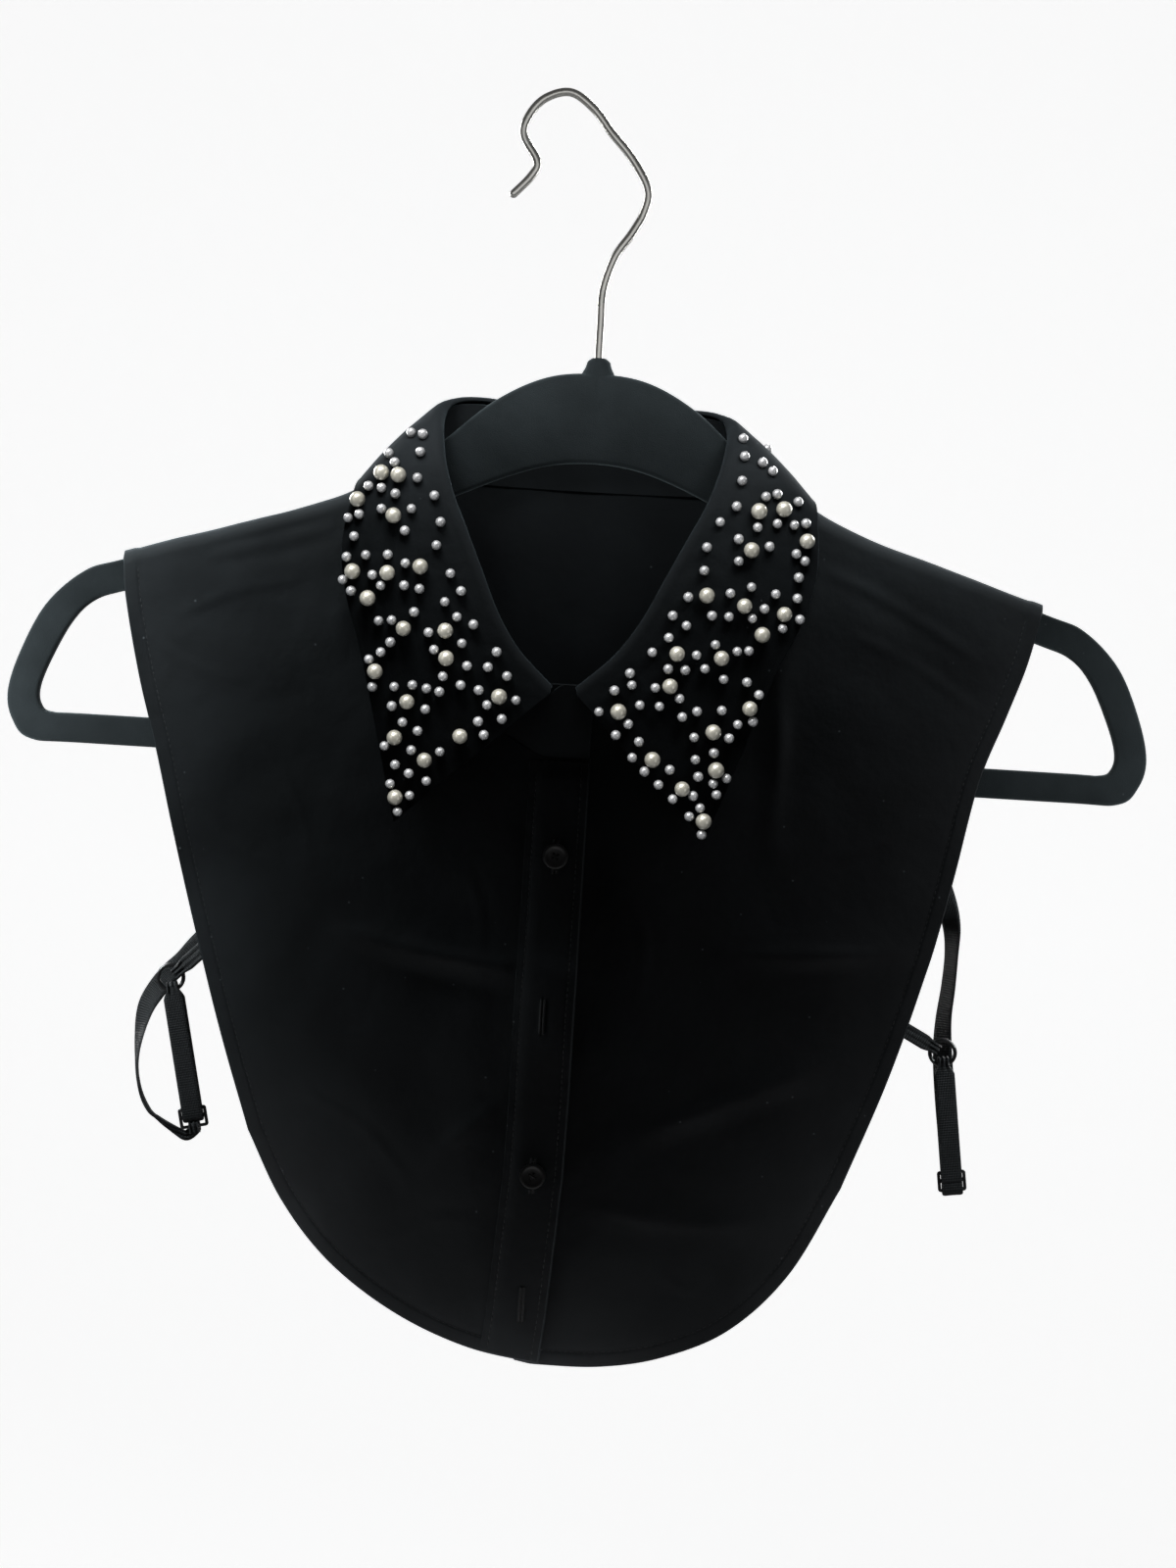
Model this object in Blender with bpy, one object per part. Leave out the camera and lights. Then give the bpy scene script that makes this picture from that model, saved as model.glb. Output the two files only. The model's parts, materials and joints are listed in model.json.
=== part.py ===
"""A detachable shirt collar with a pearl-trimmed fall, buttoned and hung on a flocked clothes hanger.

X runs to the right as the front is looked at, Y from the front to the back, and Z up. The origin is
where the hook rests on a rail. Every length in the tables is in millimetres, measured from the
hanger's centre plane and from a level 224 mm below that rest, and the parent empty moves it all over.
Right and left in a name are the wearer's, so the right side has negative X.
"""

import math

import bmesh
import bpy
import numpy as np
from mathutils import Vector
from mathutils.bvhtree import BVHTree

MM = 0.001

# Cloth, in layers from the hanger outwards.
CLOTH = 1.4  # a front or the back, with its hem
STAND_WALL = 1.6  # the stand, two layers and interlining
FALL_WALL = 1.8  # the fall, two layers and interlining
PLACKET_WALL = 1.0
PLACKET_GAP = 0.85
SEAM_GAP = 0.35
NECK_GAP = 1.55  # from the neck seam to the stand's lower edge
LIFT = 1.35  # a layer that lies loosely on the one below

# Hanger.
HANGER_THICK = 5.5
HANGER_EDGE = 1.1  # bevel of the flocked band
HANGER_MIDDLE_X = 0.4
HOOK_WIRE = 3.3
NUB = (
    # z, reach
    (110.0, 8.0),
    (116.5, 6.6),
    (119.5, 5.1),
    (121.8, 4.4),
    (123.1, 2.8),
)
HOOK_REST = (-17.0, 224.35)  # inside of the top of the hook

# The hanger's lengths, each from one row of the loop below to another, parted by a hair's breadth.
# Rows past the last one are those of the other half, counted on round the loop.
HANGER_LENGTHS = {
    "hanger_dome": (-3, 3),
    "hanger_arm_left": (3, 8),
    "hanger_end_left": (8, 14),
    "hanger_bar": (14, 18),
    "hanger_end_right": (18, 24),
    "hanger_arm_right": (24, 29),
}
HANGER_PARTING = 0.3

# Outline of half the hanger's loop, from the dome under the hook down to the middle of the bar.
HANGER_LOOP = (
    # outer_x, outer_z, inner_x, inner_z
    (0.0, 117.0, 0.0, 82.0),
    (20.0, 114.5, 16.0, 80.5),
    (40.0, 104.0, 32.0, 75.5),
    (60.0, 86.4, 50.0, 67.5),
    (80.0, 71.0, 71.0, 57.5),
    (100.0, 59.5, 95.5, 47.0),
    (140.0, 46.5, 136.5, 35.0),
    (180.0, 34.0, 176.5, 22.5),
    (195.0, 28.5, 190.0, 17.5),
    (209.0, 15.0, 198.5, 8.5),
    (218.0, -4.0, 206.0, -7.0),
    (222.0, -20.0, 209.5, -18.0),
    (219.5, -31.0, 208.5, -24.5),
    (212.0, -38.0, 204.0, -27.0),
    (190.0, -38.5, 188.0, -27.0),
    (95.0, -38.5, 95.0, -27.0),
    (0.0, -38.5, 0.0, -27.0),
)

HOOK_ROUTE = (
    # x, z
    (0.0, 123.5),
    (0.0, 137.0),
    (0.2, 150.0),
    (4.0, 163.0),
    (10.0, 172.5),
    (14.2, 181.0),
    (15.2, 190.0),
    (8.5, 201.5),
    (0.0, 211.0),
    (-7.5, 220.0),
    (-17.0, 226.0),
    (-27.0, 223.0),
    (-33.0, 215.5),
    (-34.2, 208.0),
    (-28.5, 198.5),
    (-30.5, 192.5),
    (-38.0, 184.0),
)

# Outline of the fronts, from the shoulder tip down the side to where the hem begins, and along it.
SIDE_EDGE = (
    # right_x, right_z, left_x, left_z
    (-179.0, 36.0, 178.0, 36.0),
    (-177.0, 19.0, 173.0, 14.0),
    (-170.0, -11.0, 166.0, -7.0),
    (-162.0, -38.0, 157.0, -33.0),
    (-153.0, -71.0, 149.5, -71.0),
    (-142.5, -107.0, 142.0, -104.0),
    (-130.0, -147.0, 129.0, -149.0),
    (-117.0, -184.0, 113.0, -193.0),
)
HEM_EDGE = (
    # right_x, right_z, left_x, left_z
    (-117.0, -184.0, 113.0, -193.0),
    (-102.5, -210.5, 95.0, -227.5),
    (-83.0, -233.0, 73.0, -250.5),
    (-57.0, -251.0, 48.0, -262.5),
    (-28.0, -262.5, 24.0, -267.5),
    (0.3, -267.5, 0.3, -268.5),
)
BACK_NARROWER = 0.985
BACK_SHORTER = 4.0

# The right front's free edge at the placket, which drifts to its own side at the hem.
PLACKET_EDGE = (
    # z, x
    (-268.0, 0.2),
    (-249.0, 2.1),
    (-220.0, 3.9),
    (-195.0, 5.5),
    (-165.0, 6.0),
    (-33.0, 6.3),
)
PLACKET_WIDE = 23.0
UNDERLAP = 24.0
LAP_STEP = CLOTH + 0.45
GAPE = 4.7  # how far the free edge lifts over the unfastened middle button
GAPE_CENTRE = -133.0
GAPE_REACH = 27.0

BUTTON_WIDE = 10.0
BUTTON_THICK = 2.2
FASTENED_BUTTONS = ((-4.8, -71.0), (-6.2, -195.0))
MIDDLE_BUTTON = (-5.5, -133.0)

# How far the cloth's inner face stands from the hanger's middle plane.
SHOULDER_ROLL = 3.5
SHOULDER_CLEAR = 1.6
BASE_DEPTH = 3.6
CHEST_RISE = 4.2
SKIRT_RISE = 1.2
LEAST_DEPTH = 3.15

# The largest folds of the fronts, as soft ridges (height above 0) and troughs.
FOLDS = (
    # from_x, from_z, to_x, to_z, reach, height
    (-86.0, -106.0, 4.0, -118.0, 7.0, 2.0),
    (66.0, -105.0, 138.0, -100.0, 7.0, 1.7),
    (78.0, 22.0, 79.0, -62.0, 6.0, 1.3),
    (90.0, 47.0, 156.0, 14.0, 6.0, -0.4),
    (-143.0, 38.0, -98.0, 51.0, 6.0, -0.4),
    (30.0, -179.0, 108.0, -144.0, 8.0, 1.5),
    (18.0, -207.0, 82.0, -210.0, 6.0, 1.2),
    (-40.0, -186.0, -22.0, -169.0, 7.0, 1.2),
)
BACK_FOLDS = (
    (-70.0, -98.0, 84.0, -104.0, 8.0, 1.6),
    (-4.0, 20.0, 2.0, -190.0, 7.0, 1.2),
    (-96.0, -146.0, -30.0, -176.0, 8.0, 1.3),
)

# Sections round half the neck, from the front end of the stand to the centre back. Across is the
# distance from the neck's middle line. A roll angle puts the point on the shoulder's rounded top:
# -90 is its front and 90 its back. NONE_HERE marks a section that has no such point.
NONE_HERE = None
NECK = (
    # fold_across, fold_y, fold_z, seam_across, seam_z, seam_roll, edge_across, edge_z, edge_roll
    (-11.5, -14.0, -8.6, -11.6, -32.6, NONE_HERE, NONE_HERE, NONE_HERE, NONE_HERE),
    (0.0, -14.1, -8.0, 0.0, -33.0, NONE_HERE, NONE_HERE, NONE_HERE, NONE_HERE),
    (5.5, -14.3, -5.2, 9.0, -31.5, NONE_HERE, 60.0, -61.0, NONE_HERE),
    (13.0, -14.8, 2.0, 27.0, -21.5, NONE_HERE, 63.5, -49.0, NONE_HERE),
    (20.0, -15.2, 9.5, 40.0, -8.5, NONE_HERE, 69.0, -31.0, NONE_HERE),
    (28.0, -15.5, 22.0, 52.0, 9.5, NONE_HERE, 75.0, -11.0, NONE_HERE),
    (35.5, -15.5, 38.0, 60.5, 28.0, NONE_HERE, 80.5, 6.0, NONE_HERE),
    (42.0, -15.0, 52.0, 67.0, 43.0, NONE_HERE, 87.0, 23.0, NONE_HERE),
    (48.5, -13.8, 66.0, 72.0, 57.0, NONE_HERE, 91.0, 39.0, NONE_HERE),
    (52.8, -11.5, 79.0, 74.5, 67.5, NONE_HERE, 91.0, 53.0, NONE_HERE),
    (54.8, -7.5, 89.4, 75.0, NONE_HERE, -62.0, 89.0, NONE_HERE, -68.0),
    (55.6, -2.5, 96.8, 75.0, NONE_HERE, 0.0, 87.5, NONE_HERE, 0.0),
    (54.0, 2.9, 101.8, 74.0, NONE_HERE, 60.0, 87.5, NONE_HERE, 68.0),
    (48.0, 6.2, 105.2, 67.0, 70.5, NONE_HERE, 84.0, 53.0, NONE_HERE),
    (36.0, 7.3, 105.6, 49.0, 71.5, NONE_HERE, 70.0, 49.0, NONE_HERE),
    (22.0, 7.8, 103.0, 30.0, 71.2, NONE_HERE, 49.0, 46.5, NONE_HERE),
    (10.0, 8.0, 99.8, 14.0, 71.0, NONE_HERE, 24.0, 45.5, NONE_HERE),
    (0.0, 8.0, 99.0, 0.0, 71.0, NONE_HERE, 0.0, 45.0, NONE_HERE),
)
NECK_MIDDLE_X = -5.5  # the neck's middle line at the front end of the stand
NECK_LEAN = 0.022  # and how it leans back to the hanger's middle further up
EDGE_MIDDLE_X = -5.0  # the same for the fall's outer edge
EDGE_LEAN = 0.05
FALL_FIRST = 2  # the first section that has a fall
STAND_LAP = 2.2  # the left end of the stand lies this far behind the right one
FOLD_ROLL = (
    # up, away: the fall's inner face over the stand's top edge, up the stand and away from the neck
    (1.0, -0.6),
    (1.6, 0.5),
    (1.0, 1.7),
    (-0.8, 2.3),
)
ROLL_RISE = 3.1  # the fold's visible edge above the stand's top edge
FALL_BULGE = 1.8
FALL_LINES = (0.13, 0.36, 0.68, 1.0)

# Large pearls of both leaves, as seen from the front, and of half the back.
PEARL_WIDE = 6.0
PEARL_SINK = 0.8
LEAF_PEARLS = (
    # right_x, right_z, left_x, left_z
    (-80.0, 72.0, 65.0, 66.0),
    (-73.5, 71.5, 74.5, 67.5),
    (-88.5, 61.5, 63.0, 51.0),
    (-74.5, 56.0, 84.0, 56.0),
    (-89.0, 34.0, 47.0, 32.5),
    (-75.5, 34.0, 61.5, 29.5),
    (-63.0, 37.0, 77.0, 27.5),
    (-82.5, 24.0, 69.0, 19.0),
    (-68.0, 13.0, 37.0, 9.5),
    (-52.0, 13.0, 54.0, 9.0),
    (-51.0, 2.5, 35.0, -3.0),
    (-78.0, -4.0, 66.0, -9.5),
    (-65.0, -15.0, 16.0, -14.0),
    (-30.0, -11.0, 52.5, -19.5),
    (-69.0, -29.0, 30.0, -31.5),
    (-44.0, -27.0, 54.5, -34.0),
    (-57.0, -37.0, 42.0, -42.0),
    (-67.5, -52.0, 51.0, -54.0),
)
BACK_PEARLS = (
    # right_x, right_z, left_x, left_z
    (-10.0, 84.0, 5.5, 83.0),
    (-30.0, 62.0, 22.0, 60.5),
    (-36.5, 89.0, 31.0, 88.0),
    (-49.0, 74.0, 42.0, 75.0),
    (-58.0, 58.5, 54.0, 58.0),
    (-69.0, 72.0, 63.0, 71.0),
)

# Side straps: elastic from the back, through a slider, up round a ring on the front's tab and back.
STRAP_WIDE = 8.0
STRAP_THICK = 1.0
STRAP_CLEAR = 0.35
TAB_WIDE = 6.0
GATHERED = 4.4  # width of the elastic inside the ring
RING_ACROSS = 9.8  # middle of the ring's wire to the other side's middle
RING_WIRE = 1.6
RING_PASS = 2.0  # from the ring's centre to an elastic that passes through it
SLIDER_BAR = 1.2
SLIDER_UPPER_SLOT = 2.0
SLIDER_LOWER_SLOT = 4.2
RIGHT_STRAP = {
    "tab_root": (-133.0, -109.0),
    "ring": (-151.5, -127.5),
    "slider": (-139.6, -181.0),
    "from_below": True,
    "end_wide": GATHERED,
    "long": (
        # x, y, z, turn: 0 faces the front and 90 shows its edge
        (-131.0, 2.0, -103.0, 0.0),
        (-141.0, 2.3, -113.0, 0.0),
        (-147.0, 3.6, -120.5, 0.0),
        (-152.6, 4.8, -126.2, 2.0),
        (-157.2, 4.7, -132.5, 8.0),
        (-161.0, 4.0, -140.0, 28.0),
        (-162.8, 2.9, -150.5, 58.0),
        (-163.0, 1.9, -162.0, 78.0),
        (-160.9, 1.6, -172.5, 86.0),
        (-157.2, 1.6, -179.6, 84.0),
        (-152.8, 1.7, -184.4, 74.0),
        (-148.4, 2.1, -188.4, 56.0),
        (-144.0, 2.3, -191.2, 34.0),
        (-140.4, 2.1, -192.2, 14.0),
    ),
}
LEFT_STRAP = {
    "tab_root": (130.2, -128.0),
    "ring": (150.2, -138.5),
    "slider": (156.8, -187.8),
    "from_below": False,
    "end_wide": STRAP_WIDE,
    "long": (
        (142.5, 2.0, -66.0, 0.0),
        (147.5, 2.2, -77.5, 4.0),
        (151.0, 2.7, -89.0, 34.0),
        (151.8, 3.9, -100.0, 54.0),
        (151.4, 4.6, -113.0, 52.0),
        (150.4, 5.3, -126.0, 44.0),
        (150.8, 5.3, -139.0, 26.0),
        (152.6, 4.6, -155.0, 8.0),
        (154.8, 3.9, -171.0, 0.0),
        (156.4, 3.6, -182.0, 0.0),
        (157.2, 3.7, -188.8, 0.0),
    ),
}

MATERIALS = {
    # colour, roughness, metallic
    "black_poplin": ((0.016, 0.017, 0.019, 1.0), 0.85, 0.0),
    "pearl_trimmed_poplin": ((0.020, 0.020, 0.021, 1.0), 0.80, 0.0),
    "black_flock": ((0.020, 0.024, 0.026, 1.0), 0.95, 0.0),
    "bright_chrome": ((0.62, 0.60, 0.58, 1.0), 0.16, 1.0),
    "gloss_button": ((0.012, 0.012, 0.013, 1.0), 0.22, 0.0),
    "black_elastic": ((0.026, 0.028, 0.031, 1.0), 0.62, 0.0),
    "black_nylon": ((0.014, 0.014, 0.015, 1.0), 0.20, 0.0),
}


def clear_scene():
    for obj in list(bpy.data.objects):
        bpy.data.objects.remove(obj, do_unlink=True)


def material(name):
    found = bpy.data.materials.get(name)
    if found:
        return found
    colour, roughness, metallic = MATERIALS[name]
    made = bpy.data.materials.new(name)
    made.use_nodes = True
    shader = made.node_tree.nodes["Principled BSDF"]
    shader.inputs["Base Color"].default_value = colour
    shader.inputs["Roughness"].default_value = roughness
    shader.inputs["Metallic"].default_value = metallic
    return made


def place(obj, slot, datum):
    obj.data.materials.append(material(slot))
    obj.parent = datum
    bpy.context.scene.collection.objects.link(obj)
    return obj


def mesh_object(name, points, faces, slot, datum):
    """A closed mesh from points in millimetres, with its faces turned outwards."""
    mesh = bpy.data.meshes.new(name)
    mesh.from_pydata([Vector(point) * MM for point in points], [], faces)
    work = bmesh.new()
    work.from_mesh(mesh)
    bmesh.ops.recalc_face_normals(work, faces=work.faces)
    work.to_mesh(mesh)
    work.free()
    mesh.shade_smooth()
    mesh.set_sharp_from_angle(angle=math.radians(40.0))
    return place(bpy.data.objects.new(name, mesh), slot, datum)


def smooth(rows, steps, closed=False):
    """Points on a Catmull-Rom curve through the rows, with so many steps from one row to the next."""
    rows = np.asarray(rows, float)
    count = len(rows)
    if closed:
        padded = np.concatenate([rows[-1:], rows, rows[:2]])
    else:
        padded = np.concatenate([2 * rows[:1] - rows[1:2], rows, 2 * rows[-1:] - rows[-2:-1]])
    found = []
    for i in range(count if closed else count - 1):
        before, here, after, beyond = padded[i : i + 4]
        for step in range(steps):
            t = step / steps
            found.append(
                here
                + 0.5 * t * (after - before)
                + 0.5 * t**2 * (2 * before - 5 * here + 4 * after - beyond)
                + 0.5 * t**3 * (3 * here - before - 3 * after + beyond)
            )
    if not closed:
        found.append(rows[-1])
    return np.array(found)


def spaced(rows, count, first=(0.0,)):
    """Points along a smooth line through the rows: some at set distances, then more at equal ones."""
    line = smooth(rows, 12)
    along = np.concatenate([[0.0], np.cumsum(np.linalg.norm(np.diff(line, axis=0), axis=1))])
    at = np.concatenate([first[:-1], np.linspace(first[-1], along[-1], count - len(first) + 1)])
    return np.stack([np.interp(at, along, line[:, k]) for k in range(line.shape[1])], axis=1)


def smoothstep(value):
    value = min(max(value, 0.0), 1.0)
    return value * value * (3.0 - 2.0 * value)


def unit(vector):
    return np.asarray(vector, float) / np.linalg.norm(vector)


def full_loop():
    """The hanger's whole loop of rows, outer and inner points, as a smooth closed line."""
    half = np.array(HANGER_LOOP)
    other = half[-2:0:-1] * (-1.0, 1.0, -1.0, 1.0)
    return smooth(np.concatenate([half, other]), 2, closed=True)


HANGER_LINE = full_loop()
ARM_TOP = HANGER_LINE[: 2 * len(HANGER_LOOP)]


def shoulder_top(x):
    """Height of the cloth's inner face on the hanger's arm."""
    upper = ARM_TOP[ARM_TOP[:, 1] > 20.0]
    return float(np.interp(abs(x - HANGER_MIDDLE_X), upper[:, 0], upper[:, 1])) + SHOULDER_CLEAR


def roll(x, z):
    """0 on the shoulder's top line and 1 where the cloth hangs straight down."""
    below = min(max((shoulder_top(x) - z) / SHOULDER_ROLL, 0.0), 1.0)
    return math.sqrt(1.0 - (1.0 - below) ** 2)


def fold_height(x, z, table):
    total = 0.0
    for from_x, from_z, to_x, to_z, reach, height in table:
        along_x, along_z = to_x - from_x, to_z - from_z
        length_squared = along_x**2 + along_z**2
        share = ((x - from_x) * along_x + (z - from_z) * along_z) / length_squared
        near = min(max(share, 0.0), 1.0)
        away = math.hypot(x - from_x - near * along_x, z - from_z - near * along_z)
        fade = 0.35 + 0.65 * math.sin(math.pi * near)
        total += height * fade * math.exp(-((away / reach) ** 2))
    return total


def placket_edge(z):
    heights = [row[0] for row in PLACKET_EDGE]
    return float(np.interp(z, heights, [row[1] for row in PLACKET_EDGE]))


def lap_height(x, z):
    """How far the right front is lifted off the left front that it laps over."""
    from_edge = x - placket_edge(z)
    step = LAP_STEP * smoothstep((from_edge + 60.0) / 34.0)
    fall_off = math.exp(-(((z - GAPE_CENTRE) / GAPE_REACH) ** 2))
    return step + GAPE * fall_off * smoothstep((from_edge + 34.0) / 34.0)


def front_depth(x, z, over):
    across = (x - NECK_MIDDLE_X) / 78.0
    chest = CHEST_RISE * math.exp(-(across**2) - ((z + 8.0) / 72.0) ** 2)
    skirt = SKIRT_RISE * math.exp(-(((z + 165.0) / 62.0) ** 2))
    depth = max(BASE_DEPTH + chest + skirt + fold_height(x, z, FOLDS), LEAST_DEPTH)
    return (depth + (lap_height(x, z) if over else 0.0)) * roll(x, z)


def back_depth(x, z):
    swell = 0.9 * math.exp(-((x / 90.0) ** 2) - ((z + 40.0) / 90.0) ** 2)
    return max(BASE_DEPTH + swell + fold_height(x, z, BACK_FOLDS), LEAST_DEPTH) * roll(x, z)


def on_cloth(x, z, out, depth, facing):
    """A point so far out of the inner face of a front (facing -1) or of the back (facing 1)."""
    step = 0.25
    lower, upper = min(z, shoulder_top(x)) - step, min(z + step, shoulder_top(x))
    slope_x = (depth(x + step, z) - depth(x - step, z)) / (2 * step)
    slope_z = (depth(x, upper) - depth(x, lower)) / (upper - lower)
    normal = unit((-slope_x, facing, -slope_z))
    return np.array((x, facing * depth(x, z), z)) + out * normal


def front_point(x, z, out, over):
    return on_cloth(x, z, out, lambda a, b: front_depth(a, b, over), -1.0)


def back_point(x, z, out):
    return on_cloth(x, z, out, back_depth, 1.0)


def on_shoulder(x, angle, out):
    """A point so far out of the rounded top of the shoulder, at an angle round the hanger's arm."""
    reach = SHOULDER_ROLL + out
    turn = math.radians(angle)
    middle = shoulder_top(x) - SHOULDER_ROLL
    return np.array((x, reach * math.sin(turn), middle + reach * math.cos(turn)))


def wall(name, inner, outer, slot, datum):
    """A closed wall between two grids of points with the same rows and columns."""
    rows, columns = inner.shape[:2]
    points = np.concatenate([inner.reshape(-1, 3), outer.reshape(-1, 3)])
    far = rows * columns

    def at(row, column, side):
        return side * far + row * columns + column

    faces = []
    for row in range(rows - 1):
        for column in range(columns - 1):
            corners = ((row, column), (row, column + 1), (row + 1, column + 1), (row + 1, column))
            faces.append([at(r, c, 0) for r, c in corners])
            faces.append([at(r, c, 1) for r, c in reversed(corners)])
    for row in range(rows - 1):
        for column in (0, columns - 1):
            here, below = (row, column), (row + 1, column)
            faces.append([at(*here, 0), at(*below, 0), at(*below, 1), at(*here, 1)])
    for column in range(columns - 1):
        for row in (0, rows - 1):
            here, beside = (row, column), (row, column + 1)
            faces.append([at(*here, 0), at(*beside, 0), at(*beside, 1), at(*here, 1)])
    return mesh_object(name, points, faces, slot, datum)


def tube(name, rings, slot, datum, closed=False):
    """A closed solid through sections with the same number of points, joined end to end if closed."""
    count, around = rings.shape[:2]
    faces = []
    for i in range(count if closed else count - 1):
        after = (i + 1) % count
        for k in range(around):
            beside = (k + 1) % around
            faces.append([i * around + k, i * around + beside, after * around + beside, after * around + k])
    if not closed:
        faces.append(list(range(around)))
        faces.append([(count - 1) * around + k for k in reversed(range(around))])
    return mesh_object(name, rings.reshape(-1, 3), faces, slot, datum)


def patch(top, side, hem, middle, lines):
    """Rows of points (x, z) filled in between four edges, at the given shares of the way down."""
    columns = len(top)
    across = np.linspace(0.0, 1.0, columns)[:, None]
    rows = []
    for share in lines:
        at = share * (len(middle) - 1)
        low = min(int(at), len(middle) - 2)
        part = at - low
        left = middle[low] * (1 - part) + middle[low + 1] * part
        right = side[low] * (1 - part) + side[low + 1] * part
        corners = (1 - share) * ((1 - across) * top[0] + across * top[-1])
        corners = corners + share * ((1 - across) * hem[0] + across * hem[-1])
        rows.append((1 - share) * top + share * hem + (1 - across) * left + across * right - corners)
    return np.array(rows)


PANEL_LINES = (0.0, 0.0022, 0.0085, 0.0175) + tuple(np.linspace(0.06, 1.0, 18))
BACK_LINES = (0.0, 0.0022, 0.0085, 0.0175) + tuple(np.linspace(0.08, 1.0, 11))
EDGE_COLUMNS = (0.0, 7.5, 15.5, 24.5)  # along the neck seam and the hem from a front's free edge
NECK_COLUMNS = 10
SHOULDER_COLUMNS = 8


def neck_middle(z):
    return NECK_MIDDLE_X + NECK_LEAN * (z + 5.0)


def neck_x(across, z, side):
    return neck_middle(z) + side * across


def edge_x(across, z, side):
    return EDGE_MIDDLE_X + EDGE_LEAN * (z + 5.0) + side * across


def neck_point_x(side):
    return neck_x(75.0, 76.0, side)


def front_neck_seam(side):
    """(x, z) along a front's neck seam, from its free edge to where it meets the shoulder's round."""
    rows = [(neck_x(row[3], row[4], side), row[4]) for row in NECK[:10]]
    top_x = neck_point_x(side)
    return rows + [(top_x, shoulder_top(top_x) - SHOULDER_ROLL)]


def over_shoulder(side):
    """(x, z) half way round the shoulder at the neck."""
    top_x = neck_point_x(side)
    return (top_x, shoulder_top(top_x) - SHOULDER_ROLL * (1.0 - math.sqrt(0.5)))


def shoulder_line(side):
    """(x, z) along the top of the shoulder, from the neck to the tip."""
    tip = SIDE_EDGE[0][0] if side < 0 else SIDE_EDGE[0][2]
    return [(x, shoulder_top(x)) for x in np.linspace(neck_point_x(side), tip, SHOULDER_COLUMNS + 1)]


def outline(table, side):
    return [(row[0], row[1]) if side < 0 else (row[2], row[3]) for row in table]


def side_edge(side, count):
    """(x, z) down a side edge, which starts on the shoulder's top line."""
    rows = outline(SIDE_EDGE, side)
    rows[0] = (rows[0][0], shoulder_top(rows[0][0]))
    return spaced(rows, count)


def front_grid(side):
    """(x, z) points of a front: the right one's free edge is the placket's, and the left one laps under."""
    shift = 0.0 if side < 0 else -UNDERLAP
    seam = front_neck_seam(side)
    seam[0] = (placket_edge(-33.0) + shift, seam[0][1])
    neck = spaced(seam, len(EDGE_COLUMNS) + NECK_COLUMNS, EDGE_COLUMNS)
    top = np.concatenate([neck, [over_shoulder(side)], shoulder_line(side)])
    hem_rows = outline(HEM_EDGE, side)[::-1]
    hem_rows[0] = (placket_edge(-268.0) + shift, hem_rows[0][1] + (0.6 if side > 0 else 0.0))
    hem = spaced(hem_rows, len(top), EDGE_COLUMNS)
    middle_z = np.linspace(seam[0][1], hem_rows[0][1], 60)
    middle = np.array([(placket_edge(z) + shift, z) for z in middle_z])
    return patch(top, side_edge(side, 60), hem, middle, PANEL_LINES)


def grid_points(grid, at):
    return np.array([[at(x, z) for x, z in row] for row in grid])


def make_front(name, side, datum):
    grid = front_grid(side)
    over = side < 0
    inner = grid_points(grid, lambda x, z: front_point(x, z, 0.0, over))
    outer = grid_points(grid, lambda x, z: front_point(x, z, CLOTH, over))
    shift = (0.0, -SEAM_GAP / 2, 0.0)
    return wall(name, inner + shift, outer + shift, "black_poplin", datum)


def make_back(name, datum):
    neck = [(neck_x(row[3], row[4], 1.0), row[4]) for row in NECK[13:]]
    neck_right = [(neck_x(row[3], row[4], -1.0), row[4]) for row in NECK[13:-1]]
    ends = [front_neck_seam(side)[-1] for side in (-1.0, 1.0)]
    seam = [ends[0]] + neck_right + neck[::-1] + [ends[1]]
    halves = [[over_shoulder(side)] + shoulder_line(side) for side in (-1.0, 1.0)]
    top = np.concatenate([halves[0][::-1], spaced(seam, 2 * NECK_COLUMNS - 3), halves[1]])

    def drawn_in(rows):
        rows = np.array(rows, float)
        below = np.clip(-rows[:, 1] / 267.0, 0.0, 1.0)
        narrower = 1.0 - (1.0 - BACK_NARROWER) * np.clip(below * 4.0, 0.0, 1.0)
        return np.stack([rows[:, 0] * narrower, rows[:, 1] + BACK_SHORTER * below], axis=1)

    hem_rows = outline(HEM_EDGE, -1.0) + outline(HEM_EDGE, 1.0)[-2::-1]
    grid = patch(
        top,
        drawn_in(side_edge(1.0, 60)),
        spaced(drawn_in(hem_rows), len(top)),
        drawn_in(side_edge(-1.0, 60)),
        BACK_LINES,
    )
    inner = grid_points(grid, lambda x, z: back_point(x, z, 0.0))
    outer = grid_points(grid, lambda x, z: back_point(x, z, CLOTH))
    shift = (0.0, SEAM_GAP / 2, 0.0)
    return wall(name, inner + shift, outer + shift, "black_poplin", datum)


def make_placket(name, datum):
    """The band on the right front's free edge, made from the front's points, moved out."""
    hem = np.array(outline(HEM_EDGE, -1.0))
    out = CLOTH + PLACKET_GAP
    inner, outer = [], []
    for down in np.linspace(0.0, 1.0, 26):
        row = []
        for share in np.linspace(-PLACKET_WIDE, -0.5, 4):
            low = np.interp(share, hem[:, 0], hem[:, 1]) + 0.8
            z = -34.4 + (low + 34.4) * down
            row.append((placket_edge(z) + share, z))
        inner.append([front_point(x, z, out, True) for x, z in row])
        outer.append([front_point(x, z, out + PLACKET_WALL, True) for x, z in row])
    return wall(name, np.array(inner), np.array(outer), "black_poplin", datum)


def seam_point(row, side):
    across, z, angle = row[3:6]
    if angle is not NONE_HERE:
        return on_shoulder(neck_x(across, 76.0, side), angle, CLOTH / 2 + 0.15)
    x = neck_x(across, z, side)
    if row[1] < 0:
        return front_point(x, z, CLOTH / 2, side < 0)
    return back_point(x, z, CLOTH / 2)


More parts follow.
